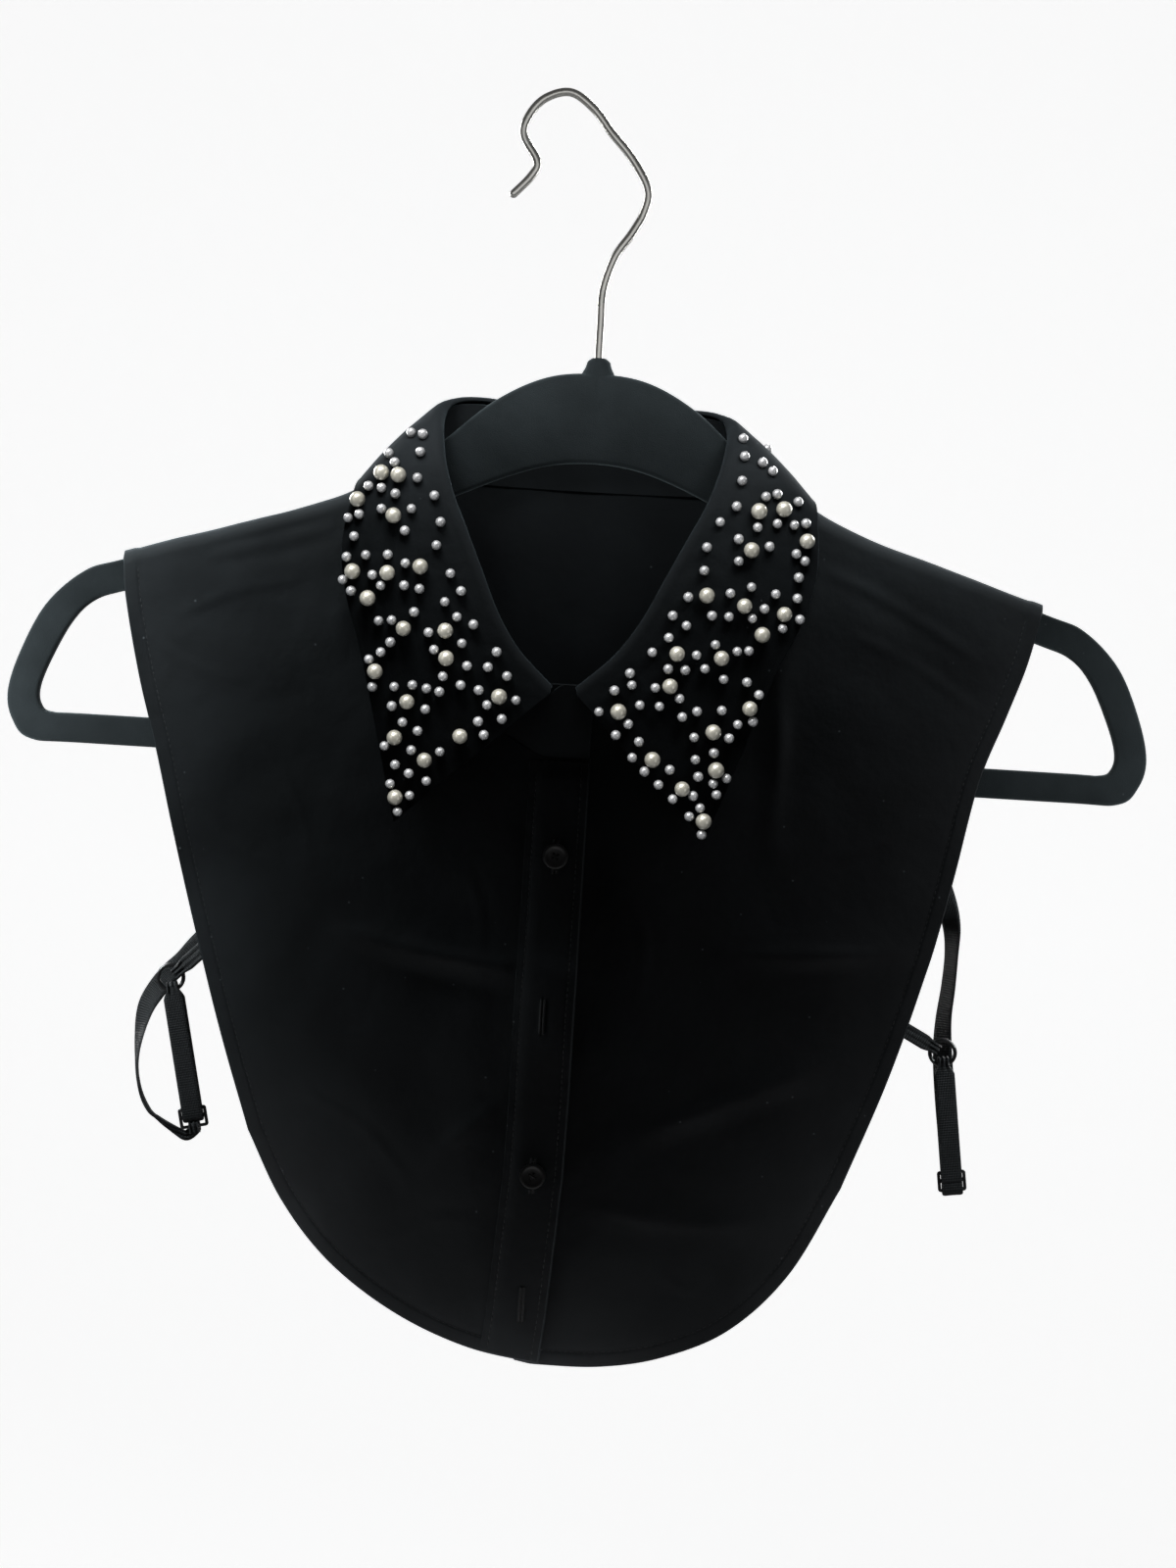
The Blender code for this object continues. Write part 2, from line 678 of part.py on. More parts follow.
def stand_top(row, side):
    """A point of the stand's top edge, which the fall rolls over."""
    across, y, z = row[:3]
    fold, seam = np.array((neck_x(across, z, side), y, z)), seam_point(row, side)
    return fold - ROLL_RISE * unit(fold - seam)


def edge_point(row, side):
    across, z, angle = row[6:9]
    out = CLOTH + LIFT
    if angle is not NONE_HERE:
        return on_shoulder(edge_x(across, 65.0, side), angle, out)
    x = edge_x(across, z, side)
    if row[1] < 0:
        return front_point(x, z, out, side < 0)
    return back_point(x, z, out)


def around_neck(first):
    """(row, side) of each section, from the right front round the back to the left front."""
    right = [(row, -1.0) for row in NECK[first:-1]]
    left = [(row, 1.0) for row in NECK[first:]]
    return right + left[::-1]


def grid_normals(grid):
    along = np.gradient(grid, axis=0)
    across = np.gradient(grid, axis=1)
    normals = np.cross(along, across)
    return normals / np.linalg.norm(normals, axis=2, keepdims=True)


def make_stand(name, datum):
    sections = []
    for row, side in around_neck(0):
        seam, fold = seam_point(row, side), stand_top(row, side)
        if side > 0:
            fold[1] += STAND_LAP * (1.0 - smoothstep((row[0] - 12.0) / 12.0)) * (row[1] < 0)
        rise = unit(fold - seam)
        start = seam + rise * NECK_GAP
        sections.append([start * (1 - share) + fold * share for share in (0.0, 0.5, 1.0)])
    grid = smooth(np.array(sections), 2)
    half = grid_normals(grid) * STAND_WALL / 2
    return wall(name, grid - half, grid + half, "black_poplin", datum)


def fall_grid():
    """Inner face of the fall, over the stand's top edge and down to its own outer edge."""
    sections = []
    for row, side in around_neck(FALL_FIRST):
        sections.append([seam_point(row, side), stand_top(row, side), edge_point(row, side)])
    sections = smooth(np.array(sections), 2)
    around = np.gradient(sections[:, 1], axis=0)
    grid = []
    for (seam, fold, edge), forward in zip(sections, around):
        rise = unit(fold - seam)
        out = unit(np.cross(rise, forward))
        line = [fold + rise * up + out * away for up, away in FOLD_ROLL]
        start = line[-1]
        for share in FALL_LINES:
            line.append(start + (edge - start) * share + out * FALL_BULGE * math.sin(math.pi * share))
        grid.append(line)
    return np.array(grid)


def pearl_ball(centre, sides=6, rings=4):
    """Points and faces of one low ball of a pearl's width."""
    radius = PEARL_WIDE / 2
    points = [centre + (0.0, 0.0, radius)]
    for ring in range(1, rings):
        down = math.pi * ring / rings
        for k in range(sides):
            turn = 2 * math.pi * k / sides
            level = (math.sin(down) * math.cos(turn), math.sin(down) * math.sin(turn), math.cos(down))
            points.append(centre + radius * np.array(level))
    points.append(centre - (0.0, 0.0, radius))
    faces = [[0, 1 + k, 1 + (k + 1) % sides] for k in range(sides)]
    for ring in range(rings - 2):
        low, high = 1 + ring * sides, 1 + (ring + 1) * sides
        for k in range(sides):
            beside = (k + 1) % sides
            faces.append([low + k, high + k, high + beside, low + beside])
    last = len(points) - 1
    faces += [[last, last - sides + (k + 1) % sides, last - sides + k] for k in range(sides)]
    return points, faces


def make_fall(name, datum):
    inner = fall_grid()
    outer = inner + grid_normals(inner) * FALL_WALL
    fall = wall(name, inner, outer, "pearl_trimmed_poplin", datum)
    rows, columns = outer.shape[:2]
    quads = [
        (r * columns + c, r * columns + c + 1, (r + 1) * columns + c + 1, (r + 1) * columns + c)
        for r in range(rows - 1)
        for c in range(columns - 1)
    ]
    face = BVHTree.FromPolygons([Vector(point) for point in outer.reshape(-1, 3)], quads)
    points, faces = [], []
    for table, looks_from in ((LEAF_PEARLS, -1.0), (BACK_PEARLS, 1.0)):
        for row in table:
            for x, z in (row[:2], row[2:]):
                hit = face.ray_cast(Vector((x, looks_from * 60.0, z)), Vector((0.0, -looks_from, 0.0)))
                if hit[0] is None:
                    hit = face.find_nearest(Vector((x, looks_from * 8.0, z)))
                normal = hit[1] if hit[1].y * looks_from > 0 or abs(hit[1].y) < 0.3 else -hit[1]
                ball, around = pearl_ball(np.array(hit[0] + normal * (PEARL_WIDE / 2 - PEARL_SINK)))
                faces += [[index + len(points) for index in polygon] for polygon in around]
                points += ball
    pearls = mesh_object("pearls_to_join", points, faces, "pearl_trimmed_poplin", datum)
    join(fall, pearls)
    even = fall.modifiers.new("even_shading", "WEIGHTED_NORMAL")
    even.keep_sharp = True
    return fall


def join(obj, other):
    """Joins a helper to an object with a Boolean, and keeps the helper out of the model."""
    other.hide_render = True
    other.display_type = "WIRE"
    union = obj.modifiers.new("join_" + other.name, "BOOLEAN")
    union.operation = "UNION"
    union.solver = "EXACT"
    union.object = other


def hanger_section(row):
    """Eight points round the flocked band, at one row of the smooth loop."""
    half, edge = HANGER_THICK / 2, HANGER_EDGE
    outer_x, outer_z, inner_x, inner_z = row
    start = np.array((outer_x + HANGER_MIDDLE_X, 0.0, outer_z))
    inward = np.array((inner_x + HANGER_MIDDLE_X, 0.0, inner_z)) - start
    wide = np.linalg.norm(inward)
    section = (
        (0.0, edge - half),
        (0.0, half - edge),
        (edge, half),
        (wide - edge, half),
        (wide, half - edge),
        (wide, edge - half),
        (wide - edge, -half),
        (edge, -half),
    )
    return [start + inward / wide * along + np.array((0.0, y, 0.0)) for along, y in section]


def make_hanger(datum):
    count = len(HANGER_LINE)
    for name, (first, last) in HANGER_LENGTHS.items():
        rows = [HANGER_LINE[index % count] for index in range(2 * first, 2 * last + 1)]
        step = rows[-2] - rows[-1]
        rows[-1] = rows[-1] + step * HANGER_PARTING / np.linalg.norm(step[:2])
        rings = np.array([hanger_section(row) for row in rows])
        made = tube(name, rings, "black_flock", datum)
        if name == "hanger_dome":
            nub = []
            for z, reach in NUB:
                turns = [2 * math.pi * k / 12 for k in range(12)]
                nub.append([(0.3 + reach * math.cos(a), min(reach, 2.7) * math.sin(a), z) for a in turns])
            join(made, tube("nub_to_join", np.array(nub), "black_flock", datum))


def make_hook(name, datum):
    route = smooth(HOOK_ROUTE, 4)
    curve = bpy.data.curves.new(name, "CURVE")
    curve.dimensions = "3D"
    curve.bevel_depth = HOOK_WIRE / 2 * MM
    curve.bevel_resolution = 2
    curve.use_fill_caps = True
    line = curve.splines.new("POLY")
    line.points.add(len(route) - 1)
    for point, (x, z) in zip(line.points, route):
        point.co = (x * MM, 0.0, z * MM, 1.0)
    return place(bpy.data.objects.new(name, curve), "bright_chrome", datum)


def make_button(name, centre, over, out, datum):
    """A dished button with a raised rim, lying on the cloth so far out of the front's inner face."""
    x, z = centre
    foot = front_point(x, z, out, over)
    normal = unit(front_point(x, z, out + 1.0, over) - foot)
    sideways = unit(np.cross(normal, (0.0, 0.0, 1.0)))
    upwards = np.cross(sideways, normal)
    half, thick = BUTTON_WIDE / 2, BUTTON_THICK
    profile = (
        # reach, height
        (half - 1.2, 0.0),
        (half, 0.9),
        (half, thick - 0.5),
        (half - 0.9, thick),
        (half - 2.0, thick - 0.8),
    )
    rings = []
    for reach, height in profile:
        turns = [2 * math.pi * k / 20 for k in range(20)]
        rings.append(
            [
                foot + normal * height + reach * (math.cos(a) * sideways + math.sin(a) * upwards)
                for a in turns
            ]
        )
    return tube(name, np.array(rings), "gloss_button", datum)


def ribbon(name, path, across, wide, datum, closed=False):
    """An elastic: a flat section carried along a path, its widths along the given directions."""
    path = np.asarray(path, float)
    along = np.roll(path, -1, axis=0) - np.roll(path, 1, axis=0) if closed else np.gradient(path, axis=0)
    rings = []
    for point, forward, sideways, width in zip(path, along, across, wide):
        forward = unit(forward)
        sideways = unit(sideways - forward * np.dot(sideways, forward))
        normal = np.cross(forward, sideways)
        corners = ((-0.5, -0.5), (0.5, -0.5), (0.5, 0.5), (-0.5, 0.5))
        rings.append([point + sideways * width * a + normal * STRAP_THICK * b for a, b in corners])
    return tube(name, np.array(rings), "black_elastic", datum, closed)


def half_turn(centre, start, towards, reach):
    """Seven points on a half circle, from one direction through another to the first one's opposite."""
    angles = np.linspace(0.0, math.pi, 7)
    return [centre + reach * (math.cos(a) * start + math.sin(a) * towards) for a in angles]


def between(first, last, count):
    return list(np.linspace(first, last, count + 2)[1:-1])


def widths_by_distance(path, ring_centre, full):
    """The elastic's width along a path: gathered at the ring and full a little way off."""
    away = [np.linalg.norm((point - ring_centre) * (1.0, 0.0, 1.0)) for point in path]
    return [GATHERED + (full - GATHERED) * smoothstep((distance - 4.4) / 4.0) for distance in away]


def make_strap_set(side_name, plan, datum):
    ring_centre = np.array((plan["ring"][0], 0.0, plan["ring"][1]))
    slider_centre = np.array((plan["slider"][0], 0.0, plan["slider"][1]))
    down = unit(slider_centre - ring_centre)
    level = unit(np.cross((0.0, 1.0, 0.0), down))
    front = np.array((0.0, -1.0, 0.0))

    rings = []
    for a in [2 * math.pi * k / 18 for k in range(18)]:
        outward = math.cos(a) * down + math.sin(a) * level
        middle = ring_centre + outward * RING_ACROSS / 2
        wire = [2 * math.pi * k / 6 for k in range(6)]
        rings.append([middle + RING_WIRE / 2 * (math.cos(b) * outward + math.sin(b) * front) for b in wire])
    tube("strap_ring_" + side_name, np.array(rings), "black_nylon", datum, closed=True)

    layers = SLIDER_BAR * math.sqrt(0.5) + STRAP_CLEAR + STRAP_THICK / 2  # a layer off the bars' plane
    tab_root = np.array((plan["tab_root"][0], -2.1, plan["tab_root"][1]))
    to_tab = unit((tab_root - ring_centre) * (1.0, 0.0, 1.0))
    bend = half_turn(ring_centre + to_tab * (RING_PASS + layers), front, -to_tab, layers)
    apart = front * 0.7
    path = [tab_root + apart] + between(tab_root + apart, bend[0], 3) + bend
    path += between(bend[-1], tab_root - apart, 3) + [tab_root - apart]
    wide = widths_by_distance(path, ring_centre, TAB_WIDE)
    ribbon("strap_tab_" + side_name, path, [np.cross(to_tab, front)] * len(path), wide, datum)

    upper = half_turn(ring_centre + down * (RING_PASS + layers), front, -down, layers)
    lower = half_turn(slider_centre, -front, down, layers)
    path = upper + between(upper[-1], lower[0], 7) + lower + between(lower[-1], upper[0], 7)
    wide = widths_by_distance(path, ring_centre, STRAP_WIDE)
    ribbon("strap_loop_" + side_name, path, [level] * len(path), wide, datum, closed=True)

    upper_bar = -(1.0 * SLIDER_BAR + SLIDER_UPPER_SLOT)
    lower_bar = 1.0 * SLIDER_BAR + SLIDER_LOWER_SLOT
    bars = (upper_bar, lower_bar)
    make_slider("strap_slider_" + side_name, slider_centre, down, level, front, bars, datum)

    over_bar = -down if plan["from_below"] else down
    wrap = half_turn(slider_centre + down * lower_bar, -front, over_bar, layers)
    approach = wrap[0] - over_bar * 1.4
    rows = smooth(list(plan["long"]) + [tuple(approach) + (0.0,)], 2)
    path = list(rows[:, :3])
    across = []
    for forward, angle in zip(np.gradient(rows[:, :3], axis=0), np.radians(rows[:, 3])):
        in_plane = unit((forward[2], 0.0, -forward[0]))
        across.append(math.cos(angle) * in_plane + math.sin(angle) * np.array((0.0, 1.0, 0.0)))
    path += wrap + [wrap[-1] - over_bar * 2.6]
    facing = level if np.dot(across[-1], level) > 0 else -level
    across = across[:-1] + [facing] * (len(path) - len(across) + 1)
    narrower = plan["end_wide"] - STRAP_WIDE
    wide = [STRAP_WIDE + narrower * smoothstep((i / len(path) - 0.45) / 0.3) for i in range(len(path))]
    ribbon("strap_long_" + side_name, path, across, wide, datum)


def make_slider(name, centre, down, level, front, bars, datum):
    """A flat frame with three bars, whose middles lie at the given drops and at 0, with two slots."""
    bar = SLIDER_BAR
    wide = STRAP_WIDE + 2 * STRAP_CLEAR
    upper, lower = bars
    middle = centre + down * (upper + lower) / 2
    outer = box_rings(middle, down, level, front, lower - upper + bar, wide + 2 * bar, bar)
    body = tube(name, outer, "black_nylon", datum)
    for number, (above, below) in enumerate(((upper, 0.0), (0.0, lower))):
        middle = centre + down * (above + below) / 2
        slot = box_rings(middle, down, level, front, below - above - bar, wide, bar * 3)
        cutter = tube(f"{name}_slot_{number}", slot, "black_nylon", datum)
        cutter.hide_render = True
        cutter.display_type = "WIRE"
        cut = body.modifiers.new(cutter.name, "BOOLEAN")
        cut.operation = "DIFFERENCE"
        cut.solver = "EXACT"
        cut.object = cutter


def box_rings(centre, down, level, front, tall, wide, thick):
    """Two four-point sections, the ends of a box."""
    corners = ((-0.5, -0.5), (0.5, -0.5), (0.5, 0.5), (-0.5, 0.5))
    return np.array(
        [
            [centre + down * tall * end + level * wide * a + front * thick * b for a, b in corners]
            for end in (-0.5, 0.5)
        ]
    )


def main():
    clear_scene()
    datum = bpy.data.objects.new("hanger_datum", None)
    datum.location = (-HOOK_REST[0] * MM, 0.0, -HOOK_REST[1] * MM)
    bpy.context.scene.collection.objects.link(datum)

    make_hanger(datum)
    make_hook("hanger_hook", datum)
    make_back("back", datum)
    make_front("front_right", -1.0, datum)
    make_front("front_left", 1.0, datum)
    make_placket("placket", datum)
    make_stand("collar_stand", datum)
    make_fall("collar_fall", datum)
    on_placket = CLOTH + PLACKET_WALL + PLACKET_GAP + SEAM_GAP
    make_button("button_top", FASTENED_BUTTONS[0], True, on_placket, datum)
    make_button("button_low", FASTENED_BUTTONS[1], True, on_placket, datum)
    make_button("button_middle", MIDDLE_BUTTON, False, CLOTH + 2 * SEAM_GAP, datum)
    make_strap_set("right", RIGHT_STRAP, datum)
    make_strap_set("left", LEFT_STRAP, datum)


main()
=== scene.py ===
# %% [markdown]
# # A pearl-collared dickey on its hanger
#
# A dickey is the collar, the front and the back of a shirt without its sleeves, worn under a pullover.
# This one is black cotton poplin. Two sizes of pearl are sewn on its collar, an elastic strap joins the
# back to the front at each side, and it hangs on a flocked hanger with a plated wire hook.
#
# The solids that give the sizes are loaded first. Each cell after that dresses one of them: a finer
# surface on the same form, its sewing, and its finish.

# %% Load the solids
import json
import math

import bmesh
import bpy
import numpy as np
from mathutils import Matrix, Vector
from mathutils.bvhtree import BVHTree
from mathutils.geometry import delaunay_2d_cdt

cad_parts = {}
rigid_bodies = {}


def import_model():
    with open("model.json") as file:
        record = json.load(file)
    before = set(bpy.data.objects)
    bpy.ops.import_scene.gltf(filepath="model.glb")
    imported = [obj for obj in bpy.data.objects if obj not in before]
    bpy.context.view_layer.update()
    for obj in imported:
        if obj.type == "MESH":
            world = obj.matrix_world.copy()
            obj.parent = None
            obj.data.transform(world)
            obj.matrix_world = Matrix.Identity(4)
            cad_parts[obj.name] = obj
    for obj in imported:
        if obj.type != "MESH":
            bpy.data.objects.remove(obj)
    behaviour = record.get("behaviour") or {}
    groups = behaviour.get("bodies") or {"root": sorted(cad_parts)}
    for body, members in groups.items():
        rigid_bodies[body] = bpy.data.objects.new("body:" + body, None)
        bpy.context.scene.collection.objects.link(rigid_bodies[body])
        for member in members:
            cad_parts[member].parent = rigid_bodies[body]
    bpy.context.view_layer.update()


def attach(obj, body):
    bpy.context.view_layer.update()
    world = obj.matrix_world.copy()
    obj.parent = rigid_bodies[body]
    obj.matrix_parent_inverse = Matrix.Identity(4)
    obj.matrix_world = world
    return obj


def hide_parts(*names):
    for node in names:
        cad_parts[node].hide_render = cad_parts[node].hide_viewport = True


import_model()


def in_scene(name, data):
    """A new object in the scene, with this mesh, light or lens."""
    obj = bpy.data.objects.new(name, data)
    bpy.context.scene.collection.objects.link(obj)
    return obj



# %% [markdown]
# ## Camera
#
# The camera looks straight at the front from 1.3 m away. It is rolled by three and a half degrees, so the
# garment, which is modelled level, appears to hang a little askew, as a light thing does on a rail. A lens
# is chosen by what it has to take in: the sensor's height over the view's height, times the distance.

# %% Camera
CAMERA_AWAY = 1.3
VIEW_TALL = 0.6107
LOOKS_AT = Vector((0.02304, 0.0, -0.26681))
CAMERA_UP = Vector((-0.0610, 0.0, 0.9981)).normalized()

lens = bpy.data.cameras.new("front_camera")
lens.sensor_fit = "VERTICAL"
lens.sensor_height = 24.0
lens.lens = lens.sensor_height * CAMERA_AWAY / VIEW_TALL
camera = in_scene("front_camera", lens)
towards_camera = Vector((0.0, -1.0, 0.0))
sideways = CAMERA_UP.cross(towards_camera)
turned = Matrix((sideways, CAMERA_UP, towards_camera)).transposed().to_4x4()
camera.matrix_world = Matrix.Translation(LOOKS_AT + towards_camera * CAMERA_AWAY) @ turned
bpy.context.scene.camera = camera
print("lens:", round(lens.lens, 1), "mm")

# %% [markdown]
# ## Helpers for node trees
#
# Shaders, Geometry Nodes and the sky are all trees of nodes, so a few helpers keep the later cells short:
# they set a node's dials, link nodes, give a group its sockets, run a tree on a mesh and start a material.


# %% Helpers for node trees
WHITE = (1.0, 1.0, 1.0, 1.0)


def dial(node, values):
    """Sets a node's own choices and its unlinked inputs. A name has _ for each space."""
    for key, value in values.items():
        if hasattr(node, key):
            setattr(node, key, value)
        else:
            node.inputs[key.replace("_", " ")].default_value = value


def feed(node, **sources):
    """Links the first output of other nodes to a node's inputs."""
    for key, source in sources.items():
        node.id_data.links.new(source.outputs[0], node.inputs[key.replace("_", " ")])


def add(tree, kind, links=(), **values):
    """A new node with these values, and links that join (input, other node, output)."""
    node = tree.nodes.new(kind)
    dial(node, values)
    for socket, other, output in links:
        tree.links.new(other.outputs[output], node.inputs[socket])
    return node


def mixed(tree, mask, output, dark, light):
    """A colour between two, by a mask. The first is a colour or another node."""
    node = add(tree, "ShaderNodeMixRGB", (("Fac", mask, output),), Color2=light)
    if isinstance(dark, bpy.types.Node):
        feed(node, Color1=dark)
    else:
        dial(node, {"Color1": dark})
    return node


def new_group(name, kind, given, asked):
    """A group of nodes, its start and its end. Its sockets are given as (name, kind, default)."""
    tree = bpy.data.node_groups.new(name, kind + "NodeTree")
    for label, socket, *default in given:
        made = tree.interface.new_socket(label, in_out="INPUT", socket_type="NodeSocket" + socket)
        if default:
            made.default_value = default[0]
    for label, socket in asked:
        tree.interface.new_socket(label, in_out="OUTPUT", socket_type="NodeSocket" + socket)
    return tree, tree.nodes.new("NodeGroupInput"), tree.nodes.new("NodeGroupOutput")


def dressed(tree, start, end, made):
    """Ends a Geometry Nodes tree: a real mesh, in the finish that the tree is given."""
    real = add(tree, "GeometryNodeRealizeInstances", (("Geometry", made, 0),))
    links = (("Geometry", real, 0), ("Material", start, "Finish"))
    feed(end, Mesh=add(tree, "GeometryNodeSetMaterial", links))
    return tree


def baked(obj):
    """Puts what an object's modifiers make in the place of its mesh."""
    graph = bpy.context.evaluated_depsgraph_get()
    made = bpy.data.meshes.new_from_object(obj.evaluated_get(graph))
    obj.modifiers.clear()
    obj.data = made


def run_tree(name, tree, mesh, values):
    """The mesh that a Geometry Nodes tree makes from this one, as a plain object."""
    obj = in_scene(name, mesh)
    step = obj.modifiers.new(tree.name, "NODES")
    step.node_group = tree
    for item in tree.interface.items_tree:
        if item.item_type == "SOCKET" and item.in_out == "INPUT" and item.name in values:
            step[item.identifier] = values[item.name]
    baked(obj)
    obj.data.name = name
    return obj


def new_finish(name, **dials):
    """A material, its tree and its shader with these values."""
    made = bpy.data.materials.new(name)
    made.use_nodes = True
    shader = made.node_tree.nodes["Principled BSDF"]
    dial(shader, dials)
    return made, made.node_tree, shader


print("helpers for node trees are ready")

# %% [markdown]
# ## Floor and backdrop
#
# One pale sheet is the floor and the backdrop, with a wide curve between them, so no corner shows. It lies
# well below the hem, because the garment hangs free. It glows for the camera alone: black cloth looks black
# only as long as its surround doesn't light it.

# %% Floor and backdrop
FLOOR_DROP = 1.3
COVE_BACK = 2.4
COVE_BEND = 0.9
COVE_TOP = 2.6
FLOOR_FRONT = -3.0
FLOOR_HALF = 3.4


def pale_paper():
    """White paper that glows for the camera alone, so that it doesn't light the cloth from behind."""
    paper, tree, shader = new_finish(
        "pale paper", Roughness=0.9, Specular_IOR_Level=0.1, Emission_Color=WHITE
    )
    seen, place = add(tree, "ShaderNodeLightPath"), add(tree, "ShaderNodeTexCoord")
    glow = add(tree, "ShaderNodeMapRange", (("Value", seen, "Is Camera Ray"),), To_Min=0.05, To_Max=0.86)
    grain = add(tree, "ShaderNodeTexNoise", (("Vector", place, "Object"),), Scale=3.0)
    tone = mixed(tree, grain, "Fac", (0.84, 0.84, 0.85, 1), (0.88, 0.88, 0.88, 1))
    feed(shader, Emission_Strength=glow, Base_Color=tone)
    return paper


bend = [math.radians(6.0 * step) for step in range(16)]
profile = [(FLOOR_FRONT, -FLOOR_DROP)]
profile += [
    (COVE_BACK - COVE_BEND + COVE_BEND * math.sin(a), COVE_BEND - FLOOR_DROP - COVE_BEND * math.cos(a))
    for a in bend
]
profile += [(COVE_BACK, COVE_TOP)]
cove = bpy.data.meshes.new("floor_and_backdrop")
corners = [(x, y, z) for y, z in profile for x in (-FLOOR_HALF, FLOOR_HALF)]
strips = [(2 * i, 2 * i + 1, 2 * i + 3, 2 * i + 2) for i in range(len(profile) - 1)]
cove.from_pydata(corners, [], strips)
cove.shade_smooth()
cove.materials.append(pale_paper())
backdrop = in_scene("floor_and_backdrop", cove)
print("floor", FLOOR_DROP, "m below the hook")

# %% [markdown]
# ## Light
#
# Flat black cloth is lit from its edges. Small soft boxes stand close beside it and graze it, so the
# shoulders and sides catch some light, every crease shows, and the middle falls away to black. Pearls are
# two hundred times as bright as this cloth, and the collar, the flocked hanger and the wire each need their
# own level too. So each group of pieces has its own lamps, and further down every lamp is told which pieces
# it reaches, as flags do in a studio. The room itself is dim. The view uses the plain transform, which keeps
# white paper white and black cloth black.


# %% Light
DAYLIGHT = (0.90, 0.98, 1.0)
PLAIN = (1.0, 1.0, 1.0)
MIDDLE = (0.02, 0.0, -0.20)
LOW_BESIDE = -0.027
ROUND_THE_EDGE = (
    # name, place x z, aim x z, wide, tall, watts, colour
    ("left_shoulder", (-0.120, -0.098), (-0.11, -0.155), 0.11, 0.02, 0.56, DAYLIGHT),
    ("left_armhole", (-0.185, -0.155), (-0.12, -0.175), 0.02, 0.10, 0.41, DAYLIGHT),
    ("left_waist", (-0.155, -0.262), (-0.10, -0.270), 0.02, 0.10, 0.062, DAYLIGHT),
    ("left_flank", (-0.133, -0.362), (-0.08, -0.360), 0.02, 0.10, 0.056, DAYLIGHT),
    ("left_hem", (-0.102, -0.448), (-0.05, -0.415), 0.02, 0.10, 0.086, PLAIN),
    ("hem", (0.000, -0.520), (0.0, -0.470), 0.15, 0.02, 0.15, PLAIN),
    ("right_hem", (0.145, -0.460), (0.09, -0.430), 0.02, 0.10, 0.075, PLAIN),
    ("right_flank", (0.190, -0.380), (0.12, -0.380), 0.02, 0.10, 0.05, PLAIN),
    ("right_waist", (0.215, -0.280), (0.14, -0.290), 0.02, 0.10, 0.08, PLAIN),
    ("right_armhole", (0.225, -0.175), (0.16, -0.195), 0.02, 0.10, 0.055, PLAIN),
    ("right_shoulder", (0.150, -0.110), (0.15, -0.165), 0.10, 0.02, 0.42, DAYLIGHT),
)


def soft_box(name, place, aim, wide, tall, watts, colour=DAYLIGHT):
    light = bpy.data.lights.new(name, "AREA")
    light.shape = "RECTANGLE"
    light.size, light.size_y = wide, tall
    light.energy, light.color = watts, colour
    lamp = in_scene(name, light)
    lamp.location = place
    lamp.rotation_euler = (Vector(aim) - Vector(place)).to_track_quat("-Z", "Y").to_euler()
    lamp.visible_camera = False
    return lamp


edge_lights = [
    soft_box(name + "_light", (x, LOW_BESIDE, z), (aim_x, 0.0, aim_z), *rest)
    for name, (x, z), (aim_x, aim_z), *rest in ROUND_THE_EDGE
]
hanger_lights = [
    soft_box("hanger_left_light", (-0.30, -0.10, -0.22), (-0.17, 0.0, -0.24), 0.05, 0.10, 1.35),
    soft_box("hanger_right_light", (0.34, -0.10, -0.24), (0.20, 0.0, -0.26), 0.05, 0.10, 0.60),
    soft_box("dome_light", (0.017, -0.03, -0.062), (0.017, 0.0, -0.11), 0.13, 0.02, 0.095),
    soft_box("dome_left_light", (-0.065, -0.04, -0.085), (-0.02, 0.0, -0.13), 0.02, 0.08, 0.12),
    soft_box("dome_right_light", (0.100, -0.04, -0.085), (0.055, 0.0, -0.13), 0.02, 0.08, 0.09),
]
collar_lights = [
    soft_box("collar_left_light", (-0.065, -0.06, -0.085), (-0.04, 0.0, -0.15), 0.06, 0.04, 0.42),
    soft_box("collar_right_light", (0.105, -0.06, -0.090), (0.08, 0.0, -0.16), 0.06, 0.04, 0.31),
]
neck_light = soft_box("neck_light", (0.017, -0.08, -0.080), (0.017, 0.0, -0.15), 0.12, 0.05, 0.22)
pearl_lights = [
    soft_box("pearl_key_light", (-0.36, -0.70, 0.62), MIDDLE, 0.42, 0.42, 19.0, PLAIN),
    soft_box("pearl_sky_light", (0.0, -0.40, 0.60), MIDDLE, 0.90, 0.50, 3.4, PLAIN),
    soft_box("pearl_left_light", (-0.80, -0.60, -0.15), MIDDLE, 0.30, 0.60, 1.1, PLAIN),
    soft_box("pearl_right_light", (0.75, -0.60, -0.45), MIDDLE, 0.30, 0.60, 0.8, PLAIN),
]
hook_light = soft_box("hook_light", (0.06, -0.80, -0.05), (0.0, 0.0, -0.05), 1.20, 0.50, 2.6, PLAIN)
soft_box("back_left_light", (0.48, 0.30, -0.05), (0.1, 0.0, -0.25), 0.10, 0.50, 4.0, PLAIN)
soft_box("back_right_light", (-0.44, 0.34, -0.05), (-0.1, 0.0, -0.25), 0.10, 0.50, 4.0, PLAIN)
soft_box("back_light", (0.3, 1.2, 0.5), MIDDLE, 0.3, 0.3, 8.0, PLAIN)

world = bpy.data.worlds.new("white studio")
bpy.context.scene.world = world
world.use_nodes = True
seen = add(world.node_tree, "ShaderNodeLightPath")
level = add(world.node_tree, "ShaderNodeMapRange", (("Value", seen, "Is Camera Ray"),), To_Min=0.05)
sky = world.node_tree.nodes["Background"]
dial(sky, {"Color": WHITE})
feed(sky, Strength=level)
bpy.context.scene.view_settings.view_transform = "Standard"

